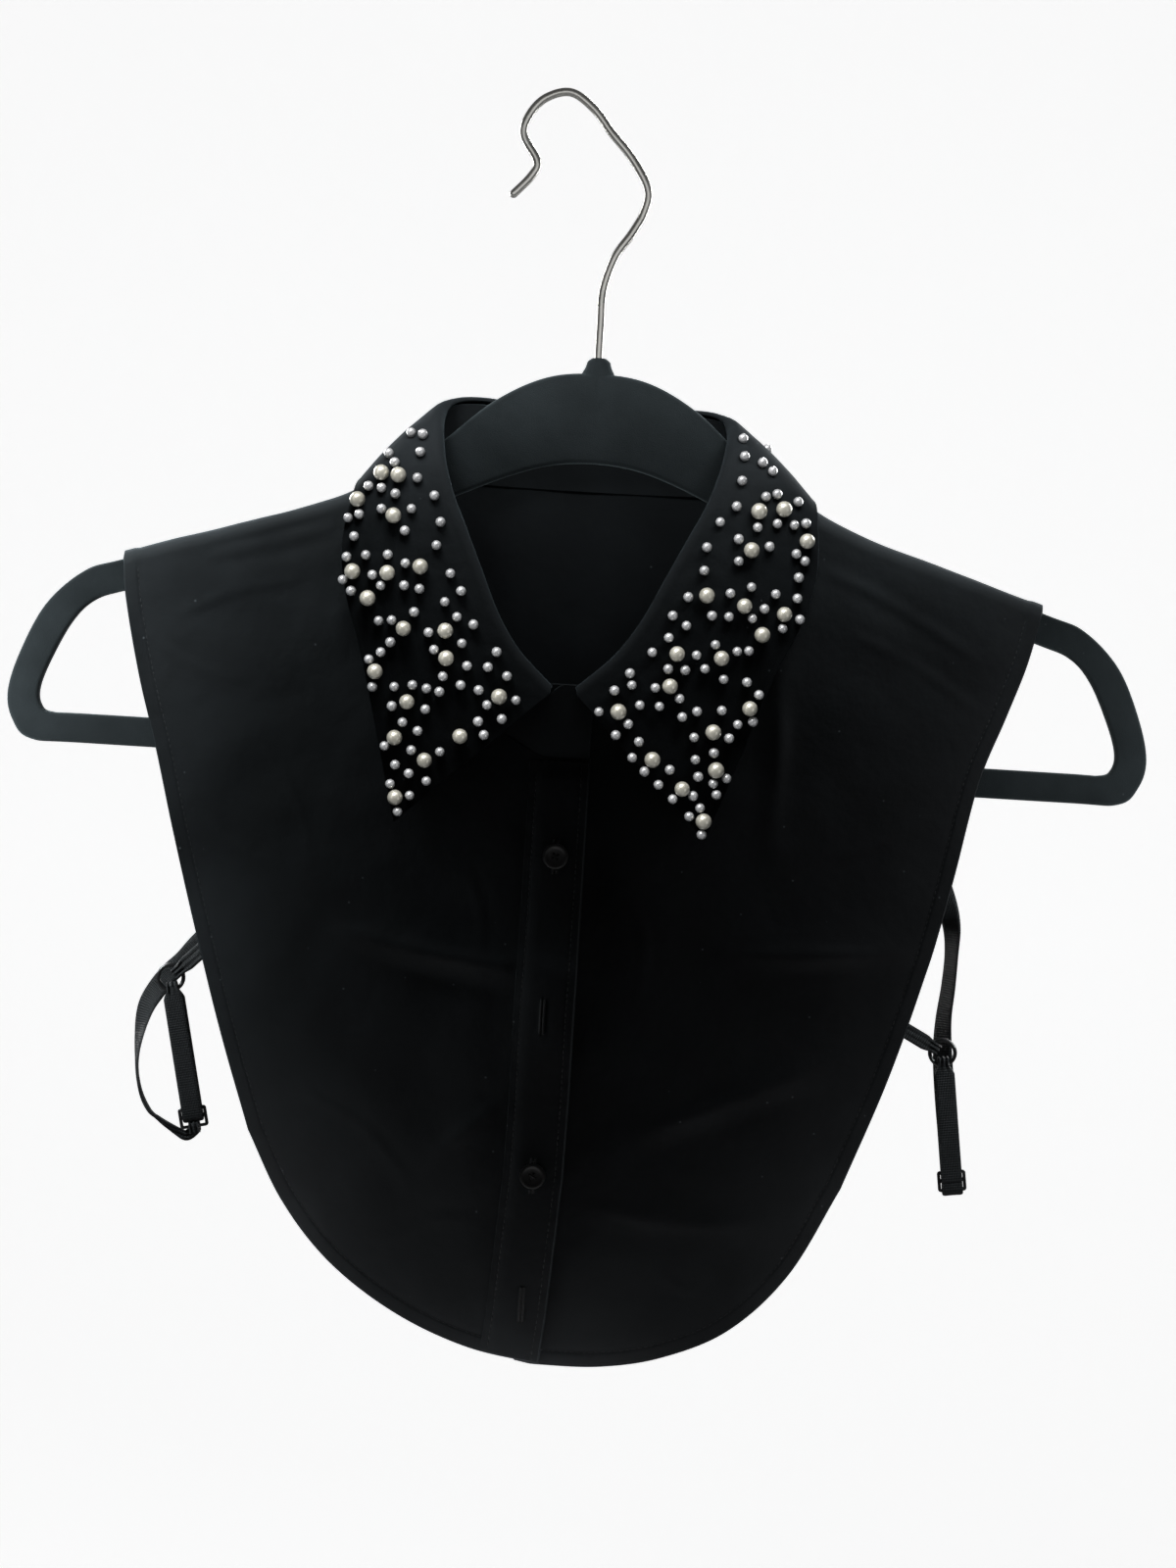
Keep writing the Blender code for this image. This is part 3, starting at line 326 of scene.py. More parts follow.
# %% [markdown]
# ## Sizes
#
# The tables below are in millimetres, from the hanger's centre plane and from a level 224 mm below the
# hook's rest, as a pattern maker would chart them. X runs to the right of the front view, Z up, and Y from
# the front to the back. Right and left in a name are the wearer's, so the right side has negative X.

# %% Sizes of the hanger
MM = 0.001
TO_REST = np.array((17.0, 0.0, -224.35))  # from the tables' zero to the hook's rest
HANGER_THICK = 5.5
HANGER_ROUND = 1.7  # its corners
HANGER_MIDDLE_X = 0.4
NUB_X = 0.3
HOOK_WIRE = 3.3
NUB = (
    # z, reach
    (108, 8.4), (113, 7.4), (116.5, 6.6), (119.5, 5.1), (121.8, 4.4), (123.1, 2.8),
)
HANGER_LOOP = (
    # outer_x, outer_z, inner_x, inner_z
    (0, 117, 0, 82), (20, 114.5, 16, 80.5), (40, 104, 32, 75.5), (60, 86.4, 50, 67.5), (80, 71, 71, 57.5),
    (100, 59.5, 95.5, 47), (140, 46.5, 136.5, 35), (180, 34, 176.5, 22.5), (195, 28.5, 190, 17.5),
    (209, 15, 198.5, 8.5), (218, -4, 206, -7), (222, -20, 209.5, -18), (219.5, -31, 208.5, -24.5),
    (212, -38, 204, -27), (190, -38.5, 188, -27), (95, -38.5, 95, -27), (0, -38.5, 0, -27),
)
HOOK_ROUTE = (
    # x, z
    (0, 121.5), (0, 137), (0.2, 150), (4, 163), (10, 172.5), (14.2, 181), (15.2, 190), (8.5, 201.5),
    (0, 211), (-7.5, 220), (-17, 226), (-27, 223), (-33, 215.5), (-34.2, 208), (-28.5, 198.5),
    (-30.5, 192.5), (-38, 184),
)

# %% Sizes of the cloth
CLOTH = 1.4  # from the inner to the outer face of a front or back
SEAM_GAP = 0.35  # between the two layers at a seam
LIFT = 1.35  # of the collar's edge off the cloth
SIDE_EDGE = (
    # right_x, right_z, left_x, left_z
    (-179, 36, 178, 36), (-177, 19, 173, 14), (-170, -11, 166, -7), (-162, -38, 157, -33),
    (-153, -71, 149.5, -71), (-142.5, -107, 142, -104), (-130, -147, 129, -149), (-117, -184, 113, -193),
)
HEM_EDGE = (
    # right_x, right_z, left_x, left_z
    (-117, -184, 113, -193), (-102.5, -210.5, 95, -227.5), (-83, -233, 73, -250.5), (-57, -251, 48, -262.5),
    (-28, -262.5, 24, -267.5), (0.3, -267.5, 0.3, -268.5),
)
BACK_NARROWER = 0.985
BACK_SHORTER = 4.0
BACK_LONG = 267.0  # from height zero down to its hem
PLACKET_EDGE = (
    # z, x
    (-268, 0.2), (-249, 2.1), (-220, 3.9), (-195, 5.5), (-165, 6), (-33, 6.3),
)
PLACKET_WIDE = 23.0
UNDERLAP = 24.0
UNDERLAP_CORNER = ((-6, -267.3), (-9.5, -266.6), (-11, -264.8))
UNDERLAP_LOW = -261.6
NECK_LOW = -33
HEM_LOW = -268
UNDER_HEM = 0.5  # by which the lapped front's hem is higher
LAP_STEP = CLOTH + 0.45
GAPE = 4.7
GAPE_CENTRE = -133.0
GAPE_REACH = 27.0
LAP_FROM = 60.0  # in from the placket's edge, where the right front starts to climb
LAP_OVER = 34.0  # the width that the climb takes, and the opening of the gape
SHOULDER_ROLL = 3.5
SHOULDER_CLEAR = 1.6
BASE_DEPTH = 3.6
LEAST_DEPTH = 3.15
CHEST_SWELL = (4.2, -5.5, 78, -8, 72)  # height, x, reach in x, z, reach in z
BACK_SWELL = (0.9, 0, 90, -40, 90)
SKIRT_SWELL = (1.2, -165, 62)  # height, z, reach in z
FOLDS = (
    # from_x, from_z, to_x, to_z, reach, height
    (-86, -106, 4, -118, 7, 2), (66, -105, 138, -100, 7, 1.7), (78, 22, 79, -62, 6, 1.3),
    (90, 47, 156, 14, 6, -0.4), (-143, 38, -98, 51, 6, -0.4), (30, -179, 108, -144, 8, 1.5),
    (18, -207, 82, -210, 6, 1.2), (-40, -186, -22, -169, 7, 1.2),
)
BACK_FOLDS = (
    (-70, -98, 84, -104, 8, 1.6), (-4, 20, 2, -190, 7, 1.2), (-96, -146, -30, -176, 8, 1.3),
)

# %% Sizes of the collar
NECK = (
    # fold_across, fold_y, fold_z, seam_across, seam_z, seam_roll, edge_across, edge_z, edge_roll
    (-11.5, -14, -5.4, -11.6, -32.6, None, None, None, None),
    (0, -14.1, -5, 0, -33, None, None, None, None), (5.5, -14.3, -5.2, 9, -31.5, None, 60, -61, None),
    (13, -14.8, 2, 27, -21.5, None, 63.5, -49, None), (20, -15.2, 9.5, 40, -8.5, None, 69, -31, None),
    (28, -15.5, 22, 52, 9.5, None, 75, -11, None), (35.5, -15.5, 38, 60.5, 28, None, 80.5, 6, None),
    (42, -15, 52, 67, 43, None, 87, 23, None), (48.5, -13.8, 66, 72, 57, None, 91, 39, None),
    (52.8, -11.5, 79, 74.5, 67.5, None, 91, 53, None), (54.8, -7.5, 89.4, 75, None, -62, 89, None, -68),
    (55.6, -2.5, 96.8, 75, None, 0, 87.5, None, 0), (54, 2.9, 101.8, 74, None, 60, 87.5, None, 68),
    (48, 6.2, 105.2, 67, 70.5, None, 84, 53, None), (36, 7.3, 105.6, 49, 71.5, None, 70, 49, None),
    (22, 7.8, 103, 30, 71.2, None, 49, 46.5, None), (10, 8, 99.8, 14, 71, None, 24, 45.5, None),
    (0, 8, 99, 0, 71, None, 0, 45, None),
)
NECK_MIDDLE_X = -5.5
NECK_LEAN = 0.022
EDGE_MIDDLE_X = -5.0
EDGE_LEAN = 0.05
LEANS_FROM = -5
NECK_END = (75, 76)  # across and z, where the seam reaches the shoulder's top
EDGE_END_Z = 65
FALL_FIRST = 2
STAND_LAP = 2.2
STAND_WALL = 1.3
FOLD_ROLL = (
    # up, away
    (1, -0.6), (1.6, 0.5), (1, 1.7), (-0.8, 2.3),
)
ROLL_RISE = 3.1
FALL_BULGE = 1.8

# %% [markdown]
# ## Lines through rows
#
# A table row is one place that a line runs through. A Catmull-Rom curve meets every row and needs no
# handles, so a short table gives a smooth seam. `at_distances` then walks along it at any steps.


# %% Lines through rows
def smooth(rows, steps, closed=False):
    rows = np.asarray(rows, float)
    if closed:
        padded = np.concatenate([rows[-1:], rows, rows[:2]])
    else:
        padded = np.concatenate([2 * rows[:1] - rows[1:2], rows, 2 * rows[-1:] - rows[-2:-1]])
    found = []
    for i in range(len(rows) if closed else len(rows) - 1):
        before, here, after, beyond = padded[i : i + 4]
        for step in range(steps):
            t = step / steps
            bent = 2 * before - 5 * here + 4 * after - beyond
            twisted = 3 * here - before - 3 * after + beyond
            found.append(here + 0.5 * t * (after - before) + 0.5 * t**2 * bent + 0.5 * t**3 * twisted)
    if not closed:
        found.append(rows[-1])
    return np.array(found)


def distances(line):
    return np.concatenate([[0.0], np.cumsum(np.linalg.norm(np.diff(line, axis=0), axis=1))])


def at_distances(line, wanted):
    along = distances(line)
    return np.stack([np.interp(wanted, along, line[:, k]) for k in range(line.shape[1])], axis=1)


def smoothstep(value):
    value = np.clip(value, 0.0, 1.0)
    return value * value * (3.0 - 2.0 * value)


def bell(away, reach):
    """1 at no distance, falling off smoothly over a reach."""
    return np.exp(-((away / reach) ** 2))


def unit(vectors):
    vectors = np.asarray(vectors, float)
    return vectors / np.linalg.norm(vectors, axis=-1, keepdims=True)


def angles_round(step):
    """Angles all the way round, a step in degrees apart."""
    return np.radians(np.arange(0.0, 360.0, step))


def hanger_line(steps):
    half = np.array(HANGER_LOOP)
    other = half[-2:0:-1] * (-1.0, 1.0, -1.0, 1.0)
    return smooth(np.concatenate([half, other]), steps, closed=True)


HANGER_STEPS = 8  # sections from one row of the hanger's table to the next
HANGER_LINE = hanger_line(HANGER_STEPS)
print("hanger loop:", len(HANGER_LINE), "sections")

# %% [markdown]
# ## From points to a mesh
#
# Every piece below is a list of points in millimetres and the faces between them. `piece` moves the points
# to the hook's rest, turns them into metres and leaves the object itself unmoved. A sheet of cloth also
# gets a UV map in hundredths of a metre, so a weave can follow its threads.


# %% From points to a mesh
def with_corners(obj, sharp):
    """Shades a piece smooth, apart from corners sharper than an angle."""
    obj.data.shade_smooth()
    obj.data.set_sharp_from_angle(angle=math.radians(sharp))
    return obj


def piece(name, points, faces, finish, threads=None, sharp=50.0):
    mesh = bpy.data.meshes.new(name)
    mesh.from_pydata(((np.asarray(points, float) + TO_REST) * MM).tolist(), [], faces)
    if threads is not None:
        layer = mesh.uv_layers.new(name="threads")
        corner = np.empty(len(mesh.loops), np.int32)
        mesh.loops.foreach_get("vertex_index", corner)
        layer.data.foreach_set("uv", (np.asarray(threads, float)[corner] * 0.01).ravel())
    work = bmesh.new()
    work.from_mesh(mesh)
    bmesh.ops.recalc_face_normals(work, faces=work.faces)
    work.to_mesh(mesh)
    work.free()
    mesh.materials.append(finish)
    return with_corners(in_scene(name, mesh), sharp)


def sewn_on(obj, slot, *nodes):
    """The piece rides with the garment and stands for those solids, which are hidden. The slot is not used.
    """
    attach(obj, "root")
    if nodes:
        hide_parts(*nodes)
    print(obj.name, "faces:", len(obj.data.polygons))
    return obj


def border(grid):
    """The rows and columns of the places round a grid's border, in order."""
    rows, columns = grid.shape[:2]
    there = [(0, c) for c in range(columns)] + [(r, columns - 1) for r in range(1, rows)]
    back = [(rows - 1, c) for c in range(columns - 2, -1, -1)] + [(r, 0) for r in range(rows - 2, 0, -1)]
    return there + back


def shell(inner, outer):
    """Points and faces of a closed wall between two grids, with a rounded rim half way between them."""
    rows, columns = inner.shape[:2]
    points = [inner.reshape(-1, 3), outer.reshape(-1, 3)]
    middle = (inner + outer) / 2
    rim = []
    for r, c in border(inner):
        inside = middle[min(max(r, 1), rows - 2), min(max(c, 1), columns - 2)]
        outwards = unit(middle[r, c] - inside + 1e-9)
        rim.append(middle[r, c] + outwards * 0.35 * np.linalg.norm(outer[r, c] - inner[r, c]))
    points.append(np.array(rim))
    far = rows * columns
    index = np.arange(far).reshape(rows, columns)
    low, high = index[:-1, :-1], index[1:, 1:]
    quads = np.stack([low, index[:-1, 1:], high, index[1:, :-1]], axis=-1).reshape(-1, 4)
    faces = quads.tolist() + (quads[:, ::-1] + far).tolist()
    edge = [r * columns + c for r, c in border(inner)]
    for i, a in enumerate(edge):
        after = (i + 1) % len(edge)
        b, ra, rb = edge[after], 2 * far + i, 2 * far + after
        faces += [[a, ra, rb, b], [a + far, b + far, rb, ra]]
    return np.concatenate(points), faces


def rim_threads(threads):
    """UV rows for a shell's points: both faces, then its rim."""
    face = threads.reshape(-1, 2)
    return np.concatenate([face, face, [threads[place] for place in border(threads)]])


def lofted(rings, closed=False):
    """Points and faces through sections with the same number of points."""
    count, around = rings.shape[:2]
    faces = []
    for i in range(count if closed else count - 1):
        after = (i + 1) % count
        for k in range(around):
            beside = (k + 1) % around
            faces.append([i * around + k, i * around + beside, after * around + beside, after * around + k])
    if not closed:
        faces.append(list(range(around)))
        faces.append([(count - 1) * around + k for k in reversed(range(around))])
    return rings.reshape(-1, 3), faces


# %% [markdown]
# ## Effects that several finishes share
#
# Poplin is a plain weave: each thread goes over one and under the next. The group draws it from the UV map
# as a chequer of small humps. Its threads are a quarter of a millimetre apart, so from a step away it only
# roughens the sheen. A second group gives slow, cloudy variation, and a third a sparse scatter of lint.


# %% Plain weave
def plain_weave():
    given = (("Threads", "Vector"), ("Threads in 10 cm", "Float", 400.0))
    tree, start, end = new_group("plain weave", "Shader", given, (("Height", "Float"), ("Tone", "Float")))
    links = ((0, start, "Threads"), ("Scale", start, "Threads in 10 cm"))
    parts = add(tree, "ShaderNodeSeparateXYZ")
    feed(parts, Vector=add(tree, "ShaderNodeVectorMath", links, operation="SCALE"))
    waves = []
    for axis in (0, 1):
        turned = add(tree, "ShaderNodeMath", ((0, parts, axis),), operation="MULTIPLY")
        turned.inputs[1].default_value = math.pi
        waves.append(add(tree, "ShaderNodeMath", ((0, turned, 0),), operation="SINE"))
    over = add(tree, "ShaderNodeMath", ((0, waves[0], 0), (1, waves[1], 0)), operation="MULTIPLY")
    height = add(tree, "ShaderNodeMapRange", (("Value", over, 0),), From_Min=-1.0)
    links = (("Vector", start, "Threads"),)
    slubs = add(tree, "ShaderNodeTexNoise", links, noise_dimensions="2D", Scale=90.0, Detail=2.0)
    uneven = add(tree, "ShaderNodeMath", ((0, height, 0), (1, slubs, 0)), operation="MULTIPLY")
    feed(end, Height=uneven, Tone=slubs)
    return tree


# %% Clouds and lint
def clouds():
    given = (("Place", "Vector"), ("Across", "Float", 30.0))
    tree, start, end = new_group("clouds", "Shader", given, (("Mask", "Float"),))
    links = (("Vector", start, "Place"), ("Scale", start, "Across"))
    noise = add(tree, "ShaderNodeTexNoise", links, Detail=3.0, Roughness=0.55)
    feed(end, Mask=add(tree, "ShaderNodeMapRange", (("Value", noise, 0),), From_Min=0.3, From_Max=0.7))
    return tree


def lint():
    given = (("Place", "Vector"), ("Specks per metre", "Float", 260.0), ("Amount", "Float", 0.5))
    tree, start, end = new_group("lint", "Shader", given, (("Mask", "Float"),))
    links = (("Vector", start, "Place"), ("Scale", start, "Specks per metre"))
    cells = add(tree, "ShaderNodeTexVoronoi", links, Randomness=1.0)
    speck = add(tree, "ShaderNodeMapRange", (("Value", cells, "Distance"),), From_Min=0.11, From_Max=0.05)
    chance = add(tree, "ShaderNodeSeparateColor", ((0, cells, "Color"),))
    rare = add(tree, "ShaderNodeMath", ((0, chance, 0),), operation="GREATER_THAN")
    rare.inputs[1].default_value = 0.9
    some = add(tree, "ShaderNodeMath", ((0, speck, 0), (1, rare, 0)), operation="MULTIPLY")
    links = ((0, some, 0), (1, start, "Amount"))
    feed(end, Mask=add(tree, "ShaderNodeMath", links, operation="MULTIPLY"))
    return tree


WEAVE, CLOUDS, LINT = plain_weave(), clouds(), lint()
print("shader groups:", WEAVE.name, CLOUDS.name, LINT.name)

# %% [markdown]
# ## Black poplin
#
# Black cotton isn't one black. Its fibres scatter a little bluish light at grazing angles, which the
# shader's sheen gives, and handling leaves it cloudy and slightly crumpled. The crumple is a fine bump
# between the creases that are modelled, and the weave a finer one on top.
#
# Every finish below starts as `cloudy` makes it: its colour drifts between a darker and a lighter one.


# %% Finishes of cloth
def cloudy(name, across, dark, light, fluff=None, **dials):
    """A finish with a drifting colour and, where fluff gives (colour, specks, amount), with lint on it."""
    made, tree, shader = new_finish(name, **dials)
    place = add(tree, "ShaderNodeTexCoord")
    links = (("Place", place, "Object"),)
    cloud = add(tree, "ShaderNodeGroup", links, node_tree=CLOUDS, Across=across)
    shade = mixed(tree, cloud, "Mask", dark, light)
    if fluff:
        colour, count, amount = fluff
        specks = add(tree, "ShaderNodeGroup", links, node_tree=LINT, Specks_per_metre=count, Amount=amount)
        shade = mixed(tree, specks, "Mask", shade, colour)
    feed(shader, Base_Color=shade)
    return made, tree, shader, (("Vector", place, "Object"),), (("Value", cloud, "Mask"),)


def bumped(tree, height, strength, distance):
    return add(tree, "ShaderNodeBump", (("Height", height, 0),), Strength=strength, Distance=distance)


def poplin(name, dark, light, sheen, crumple):
    dials = {"Roughness": 0.82, "Specular_IOR_Level": 0.05, "Sheen_Weight": sheen, "Sheen_Roughness": 0.42}
    dials["Sheen_Tint"] = (0.72, 0.86, 0.95, 1.0)
    fluff = (0.06, 0.065, 0.07, 1.0), 210.0, 0.3
    made, tree, shader, at_place, _ = cloudy(name, 26.0, dark, light, fluff, **dials)
    waves = add(tree, "ShaderNodeTexNoise", at_place, Scale=150.0, Detail=3.0, Roughness=0.5)
    threads = add(tree, "ShaderNodeUVMap", uv_map="threads")
    links = (("Threads", threads, "UV"),)
    weave = add(tree, "ShaderNodeGroup", links, node_tree=WEAVE, Threads_in_10_cm=400.0)
    fine = bumped(tree, weave, 0.35, 0.00012)
    feed(fine, Normal=bumped(tree, waves, crumple, 0.0012))
    feed(shader, Normal=fine)
    return made


BODY_POPLIN = poplin("black poplin", (0.0012, 0.0014, 0.0016, 1), (0.0026, 0.0030, 0.0034, 1), 0.066, 0.22)
COLLAR_POPLIN = poplin("collar poplin", (0.0010, 0.0012, 0.0014, 1), (0.0022, 0.0025, 0.0029, 1), 0.04, 0.34)
print("cloth finishes:", BODY_POPLIN.name, COLLAR_POPLIN.name)

# %% [markdown]
# ## Flock, wire, buttons, elastic and thread
#
# Flock is short nylon fibre shot into glue. It has no shine of its own, but its tips glow at the edge of a
# form, so it is nearly black with a wide sheen over a very fine bump. The wire is plated to a satin, not a
# mirror, with faint wear. The buttons and sliders are moulded black resin, and the elastic is a ribbed knit.


# %% Finish of the hanger
def flock():
    dials = {"Roughness": 0.95, "Specular_IOR_Level": 0.12, "Sheen_Weight": 0.12, "Sheen_Roughness": 0.5}
    dials["Sheen_Tint"] = (0.78, 0.92, 0.96, 1.0)
    fluff = (0.08, 0.085, 0.09, 1), 320.0, 0.35
    colours = (0.0034, 0.0044, 0.0050, 1), (0.0060, 0.0074, 0.0082, 1)
    made, tree, shader, at_place, _ = cloudy("black flock", 70.0, *colours, fluff, **dials)
    fibres = add(tree, "ShaderNodeTexNoise", at_place, Scale=2600.0, Detail=2.0, Roughness=0.7)
    lie = add(tree, "ShaderNodeTexNoise", at_place, Scale=190.0, Detail=3.0)
    both = add(tree, "ShaderNodeMath", ((0, fibres, 0), (1, lie, 0)), operation="ADD")
    feed(shader, Normal=bumped(tree, both, 0.6, 0.00035))
    return made


# %% Finish of the hook
def chrome():
    colours = (0.40, 0.395, 0.37, 1), (0.52, 0.515, 0.49, 1)
    made, tree, shader, _, by_cloud = cloudy("bright chrome", 90.0, *colours, Metallic=0.7)
    feed(shader, Roughness=add(tree, "ShaderNodeMapRange", by_cloud, To_Min=0.24, To_Max=0.34))
    return made


# %% Finish of buttons, rings and sliders
def moulded(name, dark, light, gloss, coat):
    dials = {"Coat_Weight": coat, "Coat_Roughness": 0.12}
    made, tree, shader, at_place, by_cloud = cloudy(name, 160.0, dark, light, **dials)
    rubbed = add(tree, "ShaderNodeMapRange", by_cloud, To_Min=gloss, To_Max=gloss + 0.12)
    flow = add(tree, "ShaderNodeTexNoise", at_place, Scale=260.0, Detail=1.0)
    feed(shader, Roughness=rubbed, Normal=bumped(tree, flow, 0.15, 0.0004))
    return made


# %% Finish of the elastic
def ribbed_elastic():
    dials = {"Specular_IOR_Level": 0.2, "Sheen_Weight": 0.06, "Sheen_Roughness": 0.35}
    colours = (0.0050, 0.0055, 0.0062, 1), (0.0098, 0.0107, 0.0119, 1)
    made, tree, shader, _, _ = cloudy("black elastic", 120.0, *colours, **dials)
    links = (("Vector", add(tree, "ShaderNodeUVMap", uv_map="threads"), "UV"),)
    along = add(tree, "ShaderNodeTexWave", links, bands_direction="Y", Scale=33.0)
    across = add(tree, "ShaderNodeTexWave", links, bands_direction="X", Scale=50.0)
    ribs = add(tree, "ShaderNodeMath", ((0, along, 1), (1, across, 1)), operation="ADD")
    dull = add(tree, "ShaderNodeMapRange", (("Value", ribs, 0),), From_Max=2.0, To_Min=0.66, To_Max=0.48)
    feed(shader, Roughness=dull, Normal=bumped(tree, ribs, 0.6, 0.00016))
    return made


# %% Finish of thread
def sewing_thread():
    colours = (0.0012, 0.0013, 0.0015, 1), (0.0024, 0.0026, 0.0030, 1)
    dials = {"Sheen_Weight": 0.02, "Specular_IOR_Level": 0.1}
    made, tree, shader, at_place, _ = cloudy("sewing thread", 400.0, *colours, **dials)
    twist = add(tree, "ShaderNodeTexNoise", at_place, Scale=3000.0)
    feed(shader, Roughness=add(tree, "ShaderNodeMapRange", (("Value", twist, 0),), To_Min=0.45, To_Max=0.75))
    return made


# %% [markdown]
# A pearl's lustre is a cloudy body under a clear skin. The body is a warm cream on the large ones and a
# cooler silver on the small ones, a little metallic so that it shades deeply, and a smooth coat over it
# gives the sharp highlight. Clouds in the colour and in the roughness keep two neighbours from looking the
# same.


# %% Finish of the pearls
def pearl(name, dark, light, rough):
    dials = {"Metallic": 0.45, "Coat_Weight": 0.9, "Coat_Roughness": 0.1, "Specular_IOR_Level": 0.6}
    made, tree, shader, at_place, _ = cloudy(name, 75.0, dark, light, **dials)
    links = (("Place", at_place[0][1], "Object"),)
    bloom = add(tree, "ShaderNodeGroup", links, node_tree=CLOUDS, Across=420.0)
    links = (("Value", bloom, "Mask"),)
    feed(shader, Roughness=add(tree, "ShaderNodeMapRange", links, To_Min=rough, To_Max=rough + 0.1))
    return made


FLOCK, CHROME, ELASTIC, THREAD = flock(), chrome(), ribbed_elastic(), sewing_thread()
BUTTON_RESIN = moulded("button resin", (0.0022, 0.0022, 0.0024, 1), (0.0045, 0.0045, 0.0050, 1), 0.32, 0.08)
SLIDER_NYLON = moulded("slider nylon", (0.0030, 0.0030, 0.0034, 1), (0.0060, 0.0060, 0.0066, 1), 0.28, 0.12)
LARGE_PEARL = pearl("large pearl", (0.44, 0.425, 0.36, 1), (0.62, 0.60, 0.52, 1), 0.30)
SMALL_PEARL = pearl("small pearl", (0.41, 0.415, 0.42, 1), (0.58, 0.585, 0.595, 1), 0.26)
print("finishes:", len(bpy.data.materials))

# %% [markdown]
# ## The hanger
#
# It is one flat loop of plastic with a velvety flock coat, so no edge on it is crisp. A section with round
# corners is carried round the loop, and a nub is joined on top of the dome, where the hook goes in.


# %% The hanger
def rounded_section(wide, thick, edge):
    """Sixteen points round a rectangle with round corners, as (along, across)."""
    found = []
    corners = ((1, 1, 0), (-1, 1, 90), (-1, -1, 180), (1, -1, 270))
    for along, across, start in corners:
        for turn in (0, 30, 60, 90):
            a = math.radians(start + turn)
            middle = (along * (wide / 2 - edge), across * (thick / 2 - edge))
            found.append((middle[0] + edge * math.cos(a), middle[1] + edge * math.sin(a)))
    return np.array(found)


def combined(obj, operation, others, sharp):
    """Joins closed shapes to a piece or cuts them out of it, one after another."""
    for other in others:
        step = obj.modifiers.new("combined", "BOOLEAN")
        step.operation, step.solver, step.object = operation, "EXACT", other
        baked(obj)
        bpy.data.objects.remove(other)
    return with_corners(obj, sharp)


def hanger_ring(row):
    start = np.array((row[0] + HANGER_MIDDLE_X, 0.0, row[1]))
    inward = np.array((row[2] + HANGER_MIDDLE_X, 0.0, row[3])) - start
    wide = np.linalg.norm(inward)
    section = rounded_section(wide, HANGER_THICK, HANGER_ROUND)
    middle = start + inward / 2
    return [middle + inward / wide * along + (0.0, across, 0.0) for along, across in section]


HANGER_NODES = ["hanger_" + end for end in ("dome", "arm_left", "arm_right", "end_left", "end_right", "bar")]
loop = piece("flocked_hanger", *lofted(np.array([hanger_ring(r) for r in HANGER_LINE]), True), FLOCK)
turns = angles_round(15.0)
stem = []
for z, reach in smooth(NUB, 3):
    deep = min(reach, HANGER_THICK / 2)
    stem.append([(NUB_X + reach * math.cos(a), deep * math.sin(a), z) for a in turns])
nub = piece("nub", *lofted(np.array(stem)), FLOCK)
hanger = sewn_on(combined(loop, "UNION", [nub], 50.0), "black_flock", *HANGER_NODES)

# %% [markdown]
# ## The hook
#
# A plated wire is bent into an S with a loop on top, and its end is rounded so that it doesn't catch. It
# follows a path, so Geometry Nodes carry a circle along a line of points, each with its own reach. The last
# points reach less and less, which rounds the tip.


# %% The hook
def wire_tree():
    given = (("Line", "Geometry"), ("Sides", "Int", 16), ("Finish", "Material"))
    tree, start, end = new_group("wire along a line", "Geometry", given, (("Mesh", "Geometry"),))
    curve = add(tree, "GeometryNodeMeshToCurve", (("Mesh", start, "Line"),))
    reach = add(tree, "GeometryNodeInputNamedAttribute", Name="reach")
    circle = add(tree, "GeometryNodeCurvePrimitiveCircle", (("Resolution", start, "Sides"),), Radius=1.0)
    links = (("Curve", curve, 0), ("Profile Curve", circle, 0), ("Scale", reach, 0))
    return dressed(tree, start, end, add(tree, "GeometryNodeCurveToMesh", links, Fill_Caps=True))


def polyline(name, points, **attributes):
    """A mesh of edges through points in millimetres, with one number or vector for each point."""
    mesh = bpy.data.meshes.new(name)
    points = (np.asarray(points, float) + TO_REST) * MM
    mesh.from_pydata(points.tolist(), [(i, i + 1) for i in range(len(points) - 1)], [])
    for label, values in attributes.items():
        values = np.asarray(values, float)
        kind, field = ("FLOAT", "value") if values.ndim == 1 else ("FLOAT_VECTOR", "vector")
        mesh.attributes.new(label, kind, "POINT").data.foreach_set(field, values.ravel())
    return mesh


WIRE_REACH = HOOK_WIRE / 2
route = smooth(HOOK_ROUTE, 9)
whole = distances(route)[-1]
tip_from = whole - WIRE_REACH
round_tip = whole - WIRE_REACH * np.array((0.7, 0.4, 0.2, 0.07, 0.0))
steps = np.concatenate([np.linspace(0.0, tip_from, 190), round_tip])
wire = at_distances(route, steps)
wire = np.stack([wire[:, 0], np.zeros(len(wire)), wire[:, 1]], axis=1)
to_tip = np.clip((whole - steps) / WIRE_REACH, 0.0, 1.0)
reach = WIRE_REACH * MM * np.maximum(np.sqrt(1.0 - (1.0 - to_tip) ** 2), 0.03)
line = polyline("hook_line", wire, reach=reach)
hook = run_tree("wire_hook", wire_tree(), line, {"Sides": 16, "Finish": CHROME})
sewn_on(with_corners(hook, 60.0), "bright_chrome", "hanger_hook")

# %% [markdown]
# ## How the cloth hangs
#
# The cloth isn't simulated: it hangs almost flat from a known form, so a rule says it better. One function
# gives how far the cloth stands from the hanger's middle plane at any (x, z): round over the shoulder,
# fuller at the chest, and with a few broad folds. The right front also climbs over the one it laps.


# %% How the cloth hangs
ARM_ENDS_Z = 20.0
ARM_TOP = HANGER_LINE[: HANGER_STEPS * len(HANGER_LOOP)]
ARM_TOP = ARM_TOP[ARM_TOP[:, 1] > ARM_ENDS_Z]
WALK = 0.25  # the step over which a slope is taken


